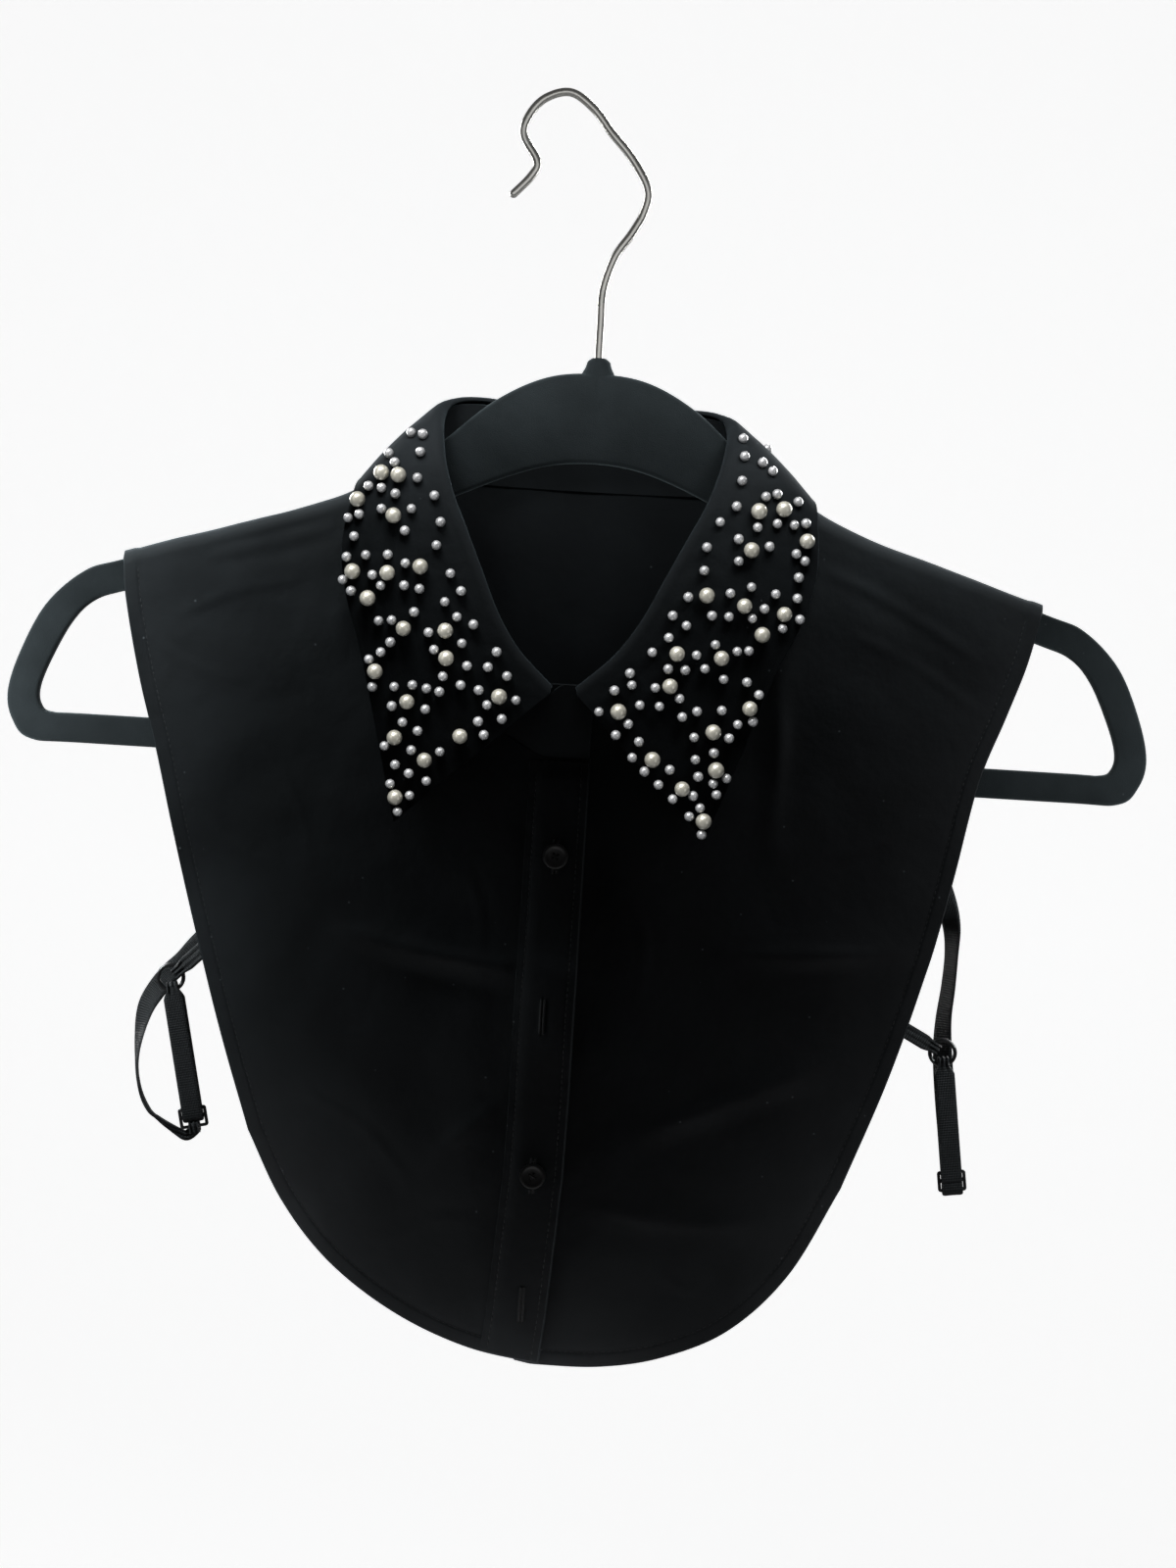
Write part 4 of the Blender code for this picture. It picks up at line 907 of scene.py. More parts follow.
def shoulder_top(x):
    """Height of the cloth's inner face on the hanger's arm."""
    return np.interp(np.abs(np.asarray(x) - HANGER_MIDDLE_X), ARM_TOP[:, 0], ARM_TOP[:, 1]) + SHOULDER_CLEAR


def roll(x, z):
    """0 on the shoulder's top line and 1 where the cloth hangs straight down."""
    below = np.clip((shoulder_top(x) - z) / SHOULDER_ROLL, 0.0, 1.0)
    return np.sqrt(1.0 - (1.0 - below) ** 2)


def fold_height(x, z, table):
    total = 0.0
    for from_x, from_z, to_x, to_z, reach, height in table:
        along_x, along_z = to_x - from_x, to_z - from_z
        share = ((x - from_x) * along_x + (z - from_z) * along_z) / (along_x**2 + along_z**2)
        near = np.clip(share, 0.0, 1.0)
        away = np.hypot(x - from_x - near * along_x, z - from_z - near * along_z)
        total = total + height * (0.35 + 0.65 * np.sin(math.pi * near)) * bell(away, reach)
    return total


def placket_edge(z):
    return np.interp(z, *np.transpose(PLACKET_EDGE))


def lap_height(x, z):
    """How far the right front is lifted off the left front that it laps over."""
    from_edge = x - placket_edge(z)
    step = LAP_STEP * smoothstep((from_edge + LAP_FROM) / LAP_OVER)
    gape = GAPE * bell(z - GAPE_CENTRE, GAPE_REACH)
    return step + gape * smoothstep((from_edge + LAP_OVER) / LAP_OVER)


def swelling(x, z, height, middle_x, reach_x, middle_z, reach_z):
    return height * bell(x - middle_x, reach_x) * bell(z - middle_z, reach_z)


def left_depth(x, z):
    height, middle_z, reach_z = SKIRT_SWELL
    swell = BASE_DEPTH + swelling(x, z, *CHEST_SWELL) + height * bell(z - middle_z, reach_z)
    return np.maximum(swell + fold_height(x, z, FOLDS), LEAST_DEPTH) * roll(x, z)


def right_depth(x, z):
    return left_depth(x, z) + lap_height(x, z) * roll(x, z)


def back_depth(x, z):
    swell = BASE_DEPTH + swelling(x, z, *BACK_SWELL)
    return np.maximum(swell + fold_height(x, z, BACK_FOLDS), LEAST_DEPTH) * roll(x, z)


DEPTHS = {"left": (left_depth, -1.0), "right": (right_depth, -1.0), "back": (back_depth, 1.0)}


def on_cloth(panel, places, out):
    """Points so far out of a panel's inner face, and the directions that they face."""
    depth, facing = DEPTHS[panel]
    x, z = np.asarray(places, float).T
    top = shoulder_top(x)
    lower, upper = np.minimum(z, top) - WALK, np.minimum(z + WALK, top)
    slope_x = (depth(x + WALK, z) - depth(x - WALK, z)) / (2 * WALK)
    slope_z = (depth(x, upper) - depth(x, lower)) / (upper - lower)
    normal = unit(np.stack([-slope_x, np.full(len(x), facing), -slope_z], axis=1))
    points = np.stack([x, facing * (depth(x, z) + SEAM_GAP / 2), z], axis=1)
    return points + normal * np.asarray(out)[..., None], normal


print("depth at the chest:", round(float(left_depth(-5.0, -60.0)), 1), "mm")

# %% [markdown]
# ## The panels' outlines
#
# A front is cut along its neck seam, the shoulder, the side, the hem and its free edge. The same rows give
# the back, which is a little narrower and has a high neck seam. Each outline is a list of lines, so that
# the corners between them stay sharp.


# %% The panels' outlines
def neck_x(across, z, side):
    return NECK_MIDDLE_X + NECK_LEAN * (z - LEANS_FROM) + side * across


def edge_x(across, z, side):
    return EDGE_MIDDLE_X + EDGE_LEAN * (z - LEANS_FROM) + side * across


def outline_rows(table, side):
    return np.array([row[:2] if side < 0 else row[2:] for row in table], float)


def seam_row(row, side):
    return (neck_x(row[3], row[4], side), row[4])


def shoulder_line(side):
    """From the neck's end over the rounded shoulder, and along its top to the tip."""
    top_x = neck_x(*NECK_END, side)
    tip = outline_rows(SIDE_EDGE, side)[0][0]
    along = np.linspace(top_x, tip, 40)
    rise = shoulder_top(top_x) - SHOULDER_ROLL * np.array((1.0, 0.7, 0.4, 0.15, 0.0))
    return np.stack([[top_x] * 5, rise], axis=1), np.stack([along, shoulder_top(along)], axis=1)


def side_line(side):
    rows = outline_rows(SIDE_EDGE, side)
    rows[0, 1] = shoulder_top(rows[0, 0])
    return smooth(rows, 12)


def neck_end(side):
    top_x = neck_x(*NECK_END, side)
    return (top_x, float(shoulder_top(top_x)) - SHOULDER_ROLL)


def front_outline(side):
    shift = 0.0 if side < 0 else -UNDERLAP
    neck = [seam_row(row, side) for row in NECK[:10]] + [neck_end(side)]
    neck[0] = (float(placket_edge(NECK_LOW)) + shift, neck[0][1])
    hem = outline_rows(HEM_EDGE, side)
    hem[-1] = (placket_edge(HEM_LOW), hem[-1][1] + (UNDER_HEM if side > 0 else 0.0))
    if side > 0:
        corner = (placket_edge(UNDERLAP_LOW) + shift, UNDERLAP_LOW)
        hem = np.concatenate([hem, [*UNDERLAP_CORNER, corner]])
    free_z = np.linspace(hem[-1][1], neck[0][1], 60)
    free = np.stack([placket_edge(free_z) + shift, free_z], axis=1)
    return [smooth(neck, 12), *shoulder_line(side), side_line(side), smooth(hem, 12), free]


def drawn_in(rows):
    """The front's outline made into the back's: shorter, and narrower, in full a quarter of the way down."""
    below = np.clip(-rows[:, 1] / BACK_LONG, 0.0, 1.0)
    narrower = 1.0 - (1.0 - BACK_NARROWER) * np.clip(below * 4.0, 0.0, 1.0)
    return np.stack([rows[:, 0] * narrower, rows[:, 1] + BACK_SHORTER * below], axis=1)


def back_outline():
    right = [seam_row(row, -1.0) for row in NECK[13:]]
    left = [seam_row(row, 1.0) for row in NECK[13:-1]]
    neck = smooth([neck_end(-1.0)] + right + left[::-1] + [neck_end(1.0)], 8)
    over_left, top_left = shoulder_line(1.0)
    over_right, top_right = shoulder_line(-1.0)
    rows = np.concatenate([outline_rows(HEM_EDGE, 1.0), outline_rows(HEM_EDGE, -1.0)[-2::-1]])
    lines = [neck, over_left, top_left, drawn_in(side_line(1.0)), smooth(drawn_in(rows), 12)]
    return lines + [drawn_in(side_line(-1.0))[::-1], top_right[::-1], over_right[::-1]]


for label, lines in (("front", front_outline(-1.0)), ("back", back_outline())):
    print(label, "outline:", [round(float(distances(line)[-1])) for line in lines], "mm")

# %% [markdown]
# ## Filling an outline with triangles
#
# A hem needs rows of points that follow the edge, and the middle of a panel needs only an even lattice. So
# the outline is moved inwards by a few set amounts, the lattice fills what is left, and a Delaunay
# triangulation joins them all. It keeps every row of the hem as an unbroken line.


# %% Filling an outline
ROWS_IN = (0.35, 1.2, 2.6, 4.0, 4.7, 5.25, 5.8, 6.6, 8.0)


def nearest(line, places):
    """For each place: the distance to a line, how far along it is, and on which side of it."""
    start, step = line[:-1], np.diff(line, axis=0)
    long = np.maximum((step**2).sum(axis=1), 1e-9)
    away, along, beside = [], [], []
    walked = distances(line)
    for block in np.array_split(np.asarray(places, float), max(1, len(places) // 2000)):
        offset = block[:, None] - start
        share = np.clip((offset * step).sum(axis=2) / long, 0.0, 1.0)
        gap = offset - share[..., None] * step
        far = (gap**2).sum(axis=2)
        best = far.argmin(axis=1)
        pick = np.arange(len(block)), best
        away.append(np.sqrt(far[pick]))
        along.append((walked[:-1] + share * np.sqrt(long))[pick] / walked[-1])
        cross = step[best, 0] * offset[pick][:, 1] - step[best, 1] * offset[pick][:, 0]
        beside.append(np.sign(cross))
    return np.concatenate(away), np.concatenate(along), np.concatenate(beside)


def enclosed(ring, places):
    """Which places lie inside a closed ring: those with an odd number of crossings to one side."""
    odd = np.zeros(len(places), bool)
    x, z = places.T
    for (ax, az), (bx, bz) in zip(ring, np.roll(ring, -1, axis=0)):
        spans = (az > z) != (bz > z)
        if spans.any():
            odd ^= spans & (x < (bx - ax) * (z - az) / (bz - az + 1e-12) + ax)
    return odd


def fill(lines, step=2.0):
    """Places (x, z), triangles and the ring of indices round them."""
    parts = []
    for line in lines:
        long = distances(line)[-1]
        parts.append(at_distances(line, np.linspace(0.0, long, max(3, round(long / step)) + 1))[:-1])
    ring = np.concatenate(parts)
    closed = np.concatenate([ring, ring[:1]])
    ahead = np.roll(ring, -1, axis=0) - np.roll(ring, 1, axis=0)
    area = (ring[:, 0] * np.roll(ring[:, 1], -1) - np.roll(ring[:, 0], -1) * ring[:, 1]).sum()
    inward = unit(np.stack([-ahead[:, 1], ahead[:, 0]], axis=1)) * np.sign(area)
    places = [ring]
    bonds = [(i, (i + 1) % len(ring)) for i in range(len(ring))]
    count = len(ring)
    for depth in ROWS_IN:
        moved = ring + inward * depth
        clear = nearest(closed, moved)[0] > depth * 0.985 - 0.02
        keep = np.flatnonzero(clear & enclosed(ring, moved))
        bonds += [(count + k, count + k + 1) for k in range(len(keep) - 1) if keep[k + 1] == keep[k] + 1]
        places.append(moved[keep])
        count += len(keep)
    low, high = ring.min(axis=0), ring.max(axis=0)
    rows, columns = np.arange(low[1], high[1], step * 0.87), np.arange(low[0], high[0], step)
    lattice = np.array([(x + (r % 2) * step / 2, z) for r, z in enumerate(rows) for x in columns])
    lattice = lattice[enclosed(ring, lattice)]
    lattice = lattice[nearest(closed, lattice)[0] > ROWS_IN[-1] + 0.6 * step]
    places = np.concatenate(places + [lattice])
    found = delaunay_2d_cdt([Vector(place) for place in places], bonds, [], 1, 1e-5)
    new_index = {old: new for new, olds in enumerate(found[3]) for old in olds}
    ring_index = [new_index[i] for i in range(len(ring))]
    return np.array([tuple(place) for place in found[0]]), found[2], ring_index


def panel_mesh(name, flat, outer, inner):
    """A closed wall of cloth: both faces of a filled outline, and a rounded edge between them."""
    places, triangles, ring = flat
    count, around = len(places), len(ring)
    middle = (outer + inner) / 2
    ends = middle[ring]
    ahead = np.roll(ends, -1, axis=0) - np.roll(ends, 1, axis=0)
    thick = (outer - inner)[ring]
    sideways = unit(np.cross(ahead, thick))
    turn = np.roll(places[ring], -1, axis=0)
    if (places[ring][:, 0] * turn[:, 1] - turn[:, 0] * places[ring][:, 1]).sum() * thick[:, 1].sum() > 0:
        sideways = -sideways
    rim = ends + sideways * 0.4 * np.linalg.norm(thick, axis=1, keepdims=True)
    faces = [list(t) for t in triangles] + [[i + count for i in reversed(t)] for t in triangles]
    for k in range(around):
        a, b = ring[k], ring[(k + 1) % around]
        ra, rb = 2 * count + k, 2 * count + (k + 1) % around
        faces += [[a, b, rb, ra], [a + count, ra, rb, b + count]]
    threads = np.concatenate([places, places, places[ring]])
    return piece(name, np.concatenate([outer, inner, rim]), faces, BODY_POPLIN, threads)


print("hem rows at", ROWS_IN, "mm")

# %% [markdown]
# ## Creases, crumple and the hem
#
# Cotton that was folded in a packet keeps sharp creases: a narrow ridge with a shallow trough beside it.
# Each row below is one crease through three places. A low crumple of bent waves covers the rest. A hem is
# cloth turned under twice, so the last five millimetres are thicker, and its stitches pull a fine groove.


# %% Creases, crumple and the hem
CREASES = {
    "right": (
        # height, reach, three places
        (0.50, 2.4, -96, 51.5, -124, 43, -146, 37), (0.30, 1.8, -108, 30, -132, 25, -160, 12),
        (0.75, 2.2, -90, -104, -50, -111.5, -6, -117), (-0.35, 3.5, -86, -112, -50, -120, -12, -125),
        (0.30, 1.7, -150, -60, -128, -76, -104, -84), (0.28, 1.6, -126, -30, -108, -52, -98, -80),
        (0.45, 2, -46, -190, -32, -178, -20, -167), (0.30, 1.8, -98, -168, -74, -180, -52, -202),
        (0.26, 1.6, -118, -140, -92, -146, -60, -142), (0.30, 2.2, -64, -226, -40, -214, -22, -216),
        (0.24, 1.6, -40, -74, -33, -92, -30, -112), (0.25, 1.8, -172, 8, -150, -6, -128, -10),
    ),
    "left": (
        (0.50, 2.3, 89, 47, 118, 35, 157, 13), (0.30, 1.8, 104, 22, 128, 12, 160, -8),
        (0.70, 2.2, 66, -105.5, 98, -103.5, 134, -100.5), (-0.35, 3.2, 70, -112, 100, -110, 128, -107),
        (0.50, 2.2, 77, 8, 79.5, -24, 78.5, -60), (0.55, 2.4, 30, -179, 66, -163, 108, -143),
        (-0.30, 3.4, 36, -184, 70, -169, 104, -154), (0.40, 2, 18, -206, 48, -210.5, 82, -209),
        (0.28, 1.6, 140, -46, 118, -60, 96, -66), (0.28, 1.7, 126, -128, 104, -136, 84, -130),
        (0.26, 1.6, 40, -226, 56, -236, 66, -226), (0.24, 1.6, 26, -82, 32, -104, 30, -130),
    ),
    "back": (
        (0.70, 2.4, -84, -96, 4, -102, 90, -104), (-0.35, 3.5, -80, -104, 4, -110, 84, -111),
        (0.55, 2.4, -3, 20, 0, -80, 3, -190), (0.35, 2, -100, -146, -64, -164, -26, -178),
        (0.35, 2, 40, -170, 72, -150, 104, -146), (0.30, 1.8, 96, 24, 120, 8, 150, 0),
        (0.30, 1.8, -100, 28, -126, 10, -154, 4), (0.28, 1.8, -60, 20, -84, -8, -92, -44),
        (0.28, 1.8, 56, 14, 70, -20, 68, -60), (0.28, 1.8, -44, -210, -8, -222, 34, -218),
    ),
}
HEM_WIDE = 5.25
HEM_RAISED = 0.30
HEM_THICKER = 0.6
CLOTH_THIN = 0.5
CRUMPLED = 0.34


def creases(panel, places):
    total = np.zeros(len(places))
    for number, (height, reach, *rows) in enumerate(CREASES[panel]):
        away, share, side = nearest(smooth(np.reshape(rows, (3, 2)), 10), places)
        beside = away * side
        uneven = np.sin(math.pi * share) ** 0.7 * (0.78 + 0.22 * np.sin(9.0 * share + number))
        ridge = bell(beside, reach) - 0.4 * bell(beside - 1.9 * reach, 1.4 * reach)
        total += height * uneven * ridge
    return 1.3 * total


def crumple(places, seed):
    dice = np.random.default_rng(seed)
    x, z = places.T
    total = np.zeros(len(places))
    for _ in range(18):
        angle, wave, phase = dice.uniform(0.0, math.pi), dice.uniform(13.0, 58.0), dice.uniform(0.0, 6.28)
        along = (x * math.cos(angle) + z * math.sin(angle)) * 6.28 / wave
        beside = (z * math.cos(angle) - x * math.sin(angle)) * 6.28 / (wave * dice.uniform(1.5, 3.0))
        total += np.sin(along + 1.3 * np.sin(beside + phase) + phase) * wave / 58.0
    return total / 4.0


FRONT_LINES = {"right": front_outline(-1.0), "left": front_outline(1.0)}
BACK_LINES = back_outline()
HEMS = {side: np.concatenate(FRONT_LINES[side][3:5]) for side in FRONT_LINES}
HEMS["back"] = np.concatenate(BACK_LINES[3:6])


def covered(panel, places):
    """1 where another layer lies close on the panel, so that its relief has to stay low."""
    x, z = places.T
    if panel == "right":
        return smoothstep((x - placket_edge(z) + PLACKET_WIDE + 5.0) / 5.0)
    if panel == "left":
        return 1.0 - smoothstep((x - placket_edge(z)) / 5.0)
    return np.zeros(len(places))


def relief(panel, places):
    """The outer face's height over its smooth form, and the cloth's thickness."""
    places = np.asarray(places, float)
    away, along, _ = nearest(HEMS[panel], places)
    band = 1.0 - smoothstep((away - HEM_WIDE + 0.3) / 0.6)
    walked = along * distances(HEMS[panel])[-1]
    pucker = 0.5 + 0.3 * np.sin(walked * 1.9) + 0.2 * np.sin(walked * 0.83 + 1.0)
    groove = bell(away - HEM_WIDE, 0.5) * (0.16 + 0.12 * pucker)
    waves = 0.10 * pucker * bell(away - 3.2, 2.4)
    inside = smoothstep(away / 12.0)
    soft = CRUMPLED * crumple(places, len(panel)) * (0.35 + 0.65 * inside)
    loose = creases(panel, places) * inside + soft
    low = 1.0 - 0.8 * covered(panel, places)
    return HEM_RAISED * band - groove + waves + loose * low, CLOTH_THIN + HEM_THICKER * band


def outer_face(panel, places, above=0.0):
    """Points on a panel's outer face, or so far above it, and the directions that they face."""
    return on_cloth(panel, places, CLOTH + relief(panel, places)[0] + above)


def make_panel(name, panel, lines, node):
    flat = fill(lines)
    height, thick = relief(panel, flat[0])
    outer, normal = on_cloth(panel, flat[0], CLOTH + height)
    made = panel_mesh(name, flat, outer, outer - normal * thick[:, None])
    return sewn_on(made, "black_poplin", node)


front_right = make_panel("right_front", "right", FRONT_LINES["right"], "front_right")
front_left = make_panel("left_front", "left", FRONT_LINES["left"], "front_left")
back_panel = make_panel("back_panel", "back", BACK_LINES, "back")

# %% [markdown]
# ## Stitches
#
# A seam is one stitch repeated. Geometry Nodes walk along a line of points at an even pitch, put a small
# stretched ball at each, and turn it along the line and onto the face that it lies on. Every seam of the
# garment is a line for the same tree. The machine's stitches are 2.4 mm apart.


# %% Stitches
def stitch_tree():
    given = (("Line", "Geometry"), ("Pitch", "Float", 0.0024), ("Size", "Vector"), ("Finish", "Material"))
    tree, start, end = new_group("stitches along a line", "Geometry", given, (("Mesh", "Geometry"),))
    curve = add(tree, "GeometryNodeMeshToCurve", (("Mesh", start, "Line"),))
    links = (("Curve", curve, 0), ("Length", start, "Pitch"))
    even = add(tree, "GeometryNodeResampleCurve", links, mode="LENGTH")
    facing = add(tree, "GeometryNodeInputNamedAttribute", data_type="FLOAT_VECTOR", Name="facing")
    forward = add(tree, "GeometryNodeInputTangent")
    ahead = add(tree, "FunctionNodeAlignRotationToVector", (("Vector", forward, 0),), axis="X")
    links = (("Rotation", ahead, 0), ("Vector", facing, 0))
    upright = add(tree, "FunctionNodeAlignRotationToVector", links, axis="Z", pivot_axis="X")
    ball = add(tree, "GeometryNodeMeshUVSphere", Segments=6, Rings=4, Radius=1.0)
    long = add(tree, "GeometryNodeTransform", (("Geometry", ball, 0), ("Scale", start, "Size")))
    links = (("Points", even, 0), ("Instance", long, 0), ("Rotation", upright, 0))
    return dressed(tree, start, end, add(tree, "GeometryNodeInstanceOnPoints", links))


STITCHES = stitch_tree()


def stitched(name, lines, pitch=2.4, size=(1.0, 0.22, 0.16)):
    """One piece with the stitches of several lines, each given as points and facing directions."""
    made = []
    for number, (points, facing) in enumerate(lines):
        mesh = polyline(f"{name}_{number}", points, facing=facing)
        values = {"Pitch": pitch * MM, "Size": [s * MM for s in size], "Finish": THREAD}
        made.append(run_tree(f"{name}_{number}", STITCHES, mesh, values))
    whole = bmesh.new()
    for obj in made:
        whole.from_mesh(obj.data)
    mesh = made[0].data
    whole.to_mesh(mesh)
    whole.free()
    for obj in made[1:]:
        bpy.data.objects.remove(obj)
    mesh.shade_smooth()
    made[0].name = mesh.name = name
    return sewn_on(made[0], "black_poplin")


PANEL_MIDDLE = np.array((0.0, -60.0))


def moved_in(line, depth):
    """A line moved sideways, without the stretches that come nearer to it at its corners."""
    line = at_distances(line, np.arange(0.0, distances(line)[-1], 1.0))
    ahead = np.gradient(line, axis=0)
    sideways = unit(np.stack([-ahead[:, 1], ahead[:, 0]], axis=1))
    if ((PANEL_MIDDLE - line.mean(axis=0)) * sideways.mean(axis=0)).sum() < 0:
        sideways = -sideways
    moved = line + sideways * depth
    return moved[nearest(line, moved)[0] > depth - 0.05]


lines = []
for panel in ("right", "left", "back"):
    hem = moved_in(HEMS[panel], HEM_WIDE)
    lines.append(outer_face(panel, hem[hem[:, 1] < shoulder_top(hem[:, 0]) - 5.0], -0.02))
for side in (-1.0, 1.0):
    top = shoulder_line(side)[1][2:-2]
    lines.append(outer_face("back", top - (0.0, 4.4), 0.05))
body_stitches = stitched("body_stitches", lines)

# %% [markdown]
# ## The placket
#
# The placket is the doubled band that carries the buttonholes. It follows the right front's free edge and
# its depth, a little further out, with a row of stitches near each edge. Each buttonhole is a narrow slit
# between two raised lips of close stitches, and the band lifts off the middle button, which is undone.


# %% The placket
PLACKET_LIES = CLOTH + 0.12
PLACKET_THICK = 1.25
PLACKET_OUT = PLACKET_LIES + PLACKET_THICK
PLACKET_TOP = -34.4
PLACKET_STITCHES = (-20.3, -3.0)
BUTTONHOLES = ((-4.8, -71.0), (-5.6, -133.0), (-6.2, -195.0), (-7.4, -245.0))
BUTTONHOLE_HALF = 6.6
ACROSS_BAND = (
    (-23.0, -22.75, -22.2, -21.3, -20.75, -20.3, -19.85, -19.2, -17.5, -16.0, -14.6, -13.6)
    + (-13.0, -12.6, -12.3, -12.05, -11.8, -11.55, -11.3, -11.05, -10.8, -10.5, -10.1, -9.3)
    + (-8.2, -6.8, -5.4, -4.2, -3.45, -3.0, -2.55, -1.9, -1.2, -0.8, -0.5)
)


def placket_low(share):
    hem = smooth(outline_rows(HEM_EDGE, -1.0), 12)
    return np.interp(placket_edge(HEM_LOW) + share, hem[:, 0], hem[:, 1]) + 0.3


def placket_relief(share, places):
    x, z = places.T
    height = np.zeros(len(x))
    for middle in PLACKET_STITCHES:
        pull = 0.75 + 0.25 * np.sin(z * 2.1 + middle)
        height -= 0.2 * pull * bell(share - middle, 0.42)
    height -= 1.0 - smoothstep((share + PLACKET_WIDE) / 7.0)
    height -= 1.0 - smoothstep((PLACKET_TOP - z) / 8.0)
    near_edge = np.minimum(share + PLACKET_WIDE, -0.5 - share)
    height += 0.12 * np.sin(z * 0.61 + share * 0.2) * np.sin(z * 0.23) * np.exp(-near_edge / 4.0)
    for hole_x, hole_z in BUTTONHOLES:
        reach = np.clip((BUTTONHOLE_HALF - np.abs(z - hole_z)) / 0.8, 0.0, 1.0)
        off = np.abs(x - hole_x)
        height += reach * (0.28 * bell(off - 0.75, 0.42) - 0.55 * bell(off, 0.26))
        height -= 0.12 * bell(off, 4.0) * bell(z - hole_z, 9.0)
    return height + 0.16 * crumple(places, 3)


share = np.tile(np.array(ACROSS_BAND), (215, 1))
down = np.linspace(0.0, 1.0, len(share))[:, None]
band_z = PLACKET_TOP + (placket_low(share) - PLACKET_TOP) * down
band_places = np.stack([placket_edge(band_z) + share, band_z], axis=2)
band_height = placket_relief(share.ravel(), band_places.reshape(-1, 2))
band_out, band_normal = on_cloth("right", band_places.reshape(-1, 2), PLACKET_OUT + band_height)
band_in = band_out - band_normal * (PLACKET_THICK + band_height)[:, None]
points, faces = shell(band_in.reshape(*share.shape, 3), band_out.reshape(*share.shape, 3))
placket = piece("placket_band", points, faces, BODY_POPLIN, rim_threads(band_places))
sewn_on(placket, "black_poplin", "placket")


def on_placket(share, z, above):
    """Points over the placket's outer face, at so far from its free edge."""
    places = np.stack([placket_edge(z) + share, z], axis=1)
    return on_cloth("right", places, PLACKET_OUT + placket_relief(share + 0.0 * z, places) + above)


lines = []
for share_at in PLACKET_STITCHES:
    low = float(placket_low(share_at))
    lines.append(on_placket(share_at, np.arange(-36.0, low + 3.0, -0.8), 0.0))
placket_stitches = stitched("placket_stitches", lines)

# %% [markdown]
# The lips of a buttonhole are satin stitch: the same tree again, with a pitch of 0.42 mm along each lip and
# balls that are wider than they are long.

# %% Buttonholes
lips = []
for hole_x, hole_z in BUTTONHOLES:
    for side in (-0.62, 0.62):
        along = np.arange(hole_z - BUTTONHOLE_HALF, hole_z + BUTTONHOLE_HALF, 0.2)
        lips.append(on_placket(hole_x + side - placket_edge(along), along, 0.02))
buttonhole_lips = stitched("buttonhole_lips", lips, pitch=0.42, size=(0.20, 0.62, 0.22))

# %% [markdown]
# ## The buttons
#
# A shirt button is turned from resin: a raised round rim, a dished middle and four holes with a few turns
# of thread across them. The profile is spun round, and the holes are cut with a Boolean.


# %% The buttons
BUTTON_PROFILE = (
    # reach, height
    (0, 0), (2.6, 0), (3.9, 0.15), (4.7, 0.65), (5, 1.15), (4.95, 1.65), (4.6, 2.08), (4.1, 2.2),
    (3.65, 2.05), (3.3, 1.62), (2.7, 1.42), (1.6, 1.36), (0, 1.34),
)
HOLES = ((-0.85, -0.85), (0.85, -0.85), (0.85, 0.85), (-0.85, 0.85))
HOLE_REACH = 0.48


def spun(profile, turns=48):
    """Points and faces of a closed form of revolution whose profile starts and ends on the axis."""
    rings = profile[1:-1]
    angles = [2 * math.pi * k / turns for k in range(turns)]
    points = [(0.0, 0.0, profile[0][1])]
    points += [(reach * math.cos(a), reach * math.sin(a), height) for reach, height in rings for a in angles]
    points.append((0.0, 0.0, profile[-1][1]))
    faces = [[0, 1 + (k + 1) % turns, 1 + k] for k in range(turns)]
    for r in range(len(rings) - 1):
        low, high = 1 + r * turns, 1 + (r + 1) * turns
        faces += [[low + k, low + (k + 1) % turns, high + (k + 1) % turns, high + k] for k in range(turns)]
    last = len(points) - 1
    faces += [[last, last - turns + k, last - turns + (k + 1) % turns] for k in range(turns)]
    return np.array(points), faces


def frame_at(panel, place, out, turn):
    """Where a thing sits on a panel: its foot, and its sideways, upwards and outward directions."""
    foot, normal = (rows[0] for rows in on_cloth(panel, np.array([place]), np.array([out])))
    sideways = unit(np.cross(normal, (0.0, 0.0, 1.0)))
    upwards = np.cross(sideways, normal)
    across, rise = math.cos(math.radians(turn)), math.sin(math.radians(turn))
    return foot, across * sideways + rise * upwards, across * upwards - rise * sideways, normal


def seated(points, seat):
    foot, sideways, upwards, normal = seat
    return foot + points[:, :1] * sideways + points[:, 1:2] * upwards + points[:, 2:] * normal


def drill(hole, seat):
    """A round bar through one of a button's holes."""
    turns = angles_round(30.0)
    ring = [(hole[0] + HOLE_REACH * math.cos(a), hole[1] + HOLE_REACH * math.sin(a)) for a in turns]
    points, faces = lofted(np.array([[(*place, height) for place in ring] for height in (-1.0, 3.0)]))
    return piece("drill", seated(points, seat), faces, BUTTON_RESIN)


def cord_between(first, last, rise, reach=0.2):
    """A short round thread from one hole up and over to another."""
    share = np.linspace(0.0, 1.0, 9)[:, None]
    over = np.array((0.0, 0.0, 1.0))
    rows = first * (1 - share) + last * share + over * (rise * np.sin(math.pi * share) + 0.75)
    ahead = unit(np.gradient(rows, axis=0))
    beside = unit(np.cross(ahead, over))
    turns = angles_round(45.0)
    rings = [rows + reach * (math.cos(a) * beside + math.sin(a) * np.cross(ahead, beside)) for a in turns]
    return lofted(np.stack(rings, axis=1))


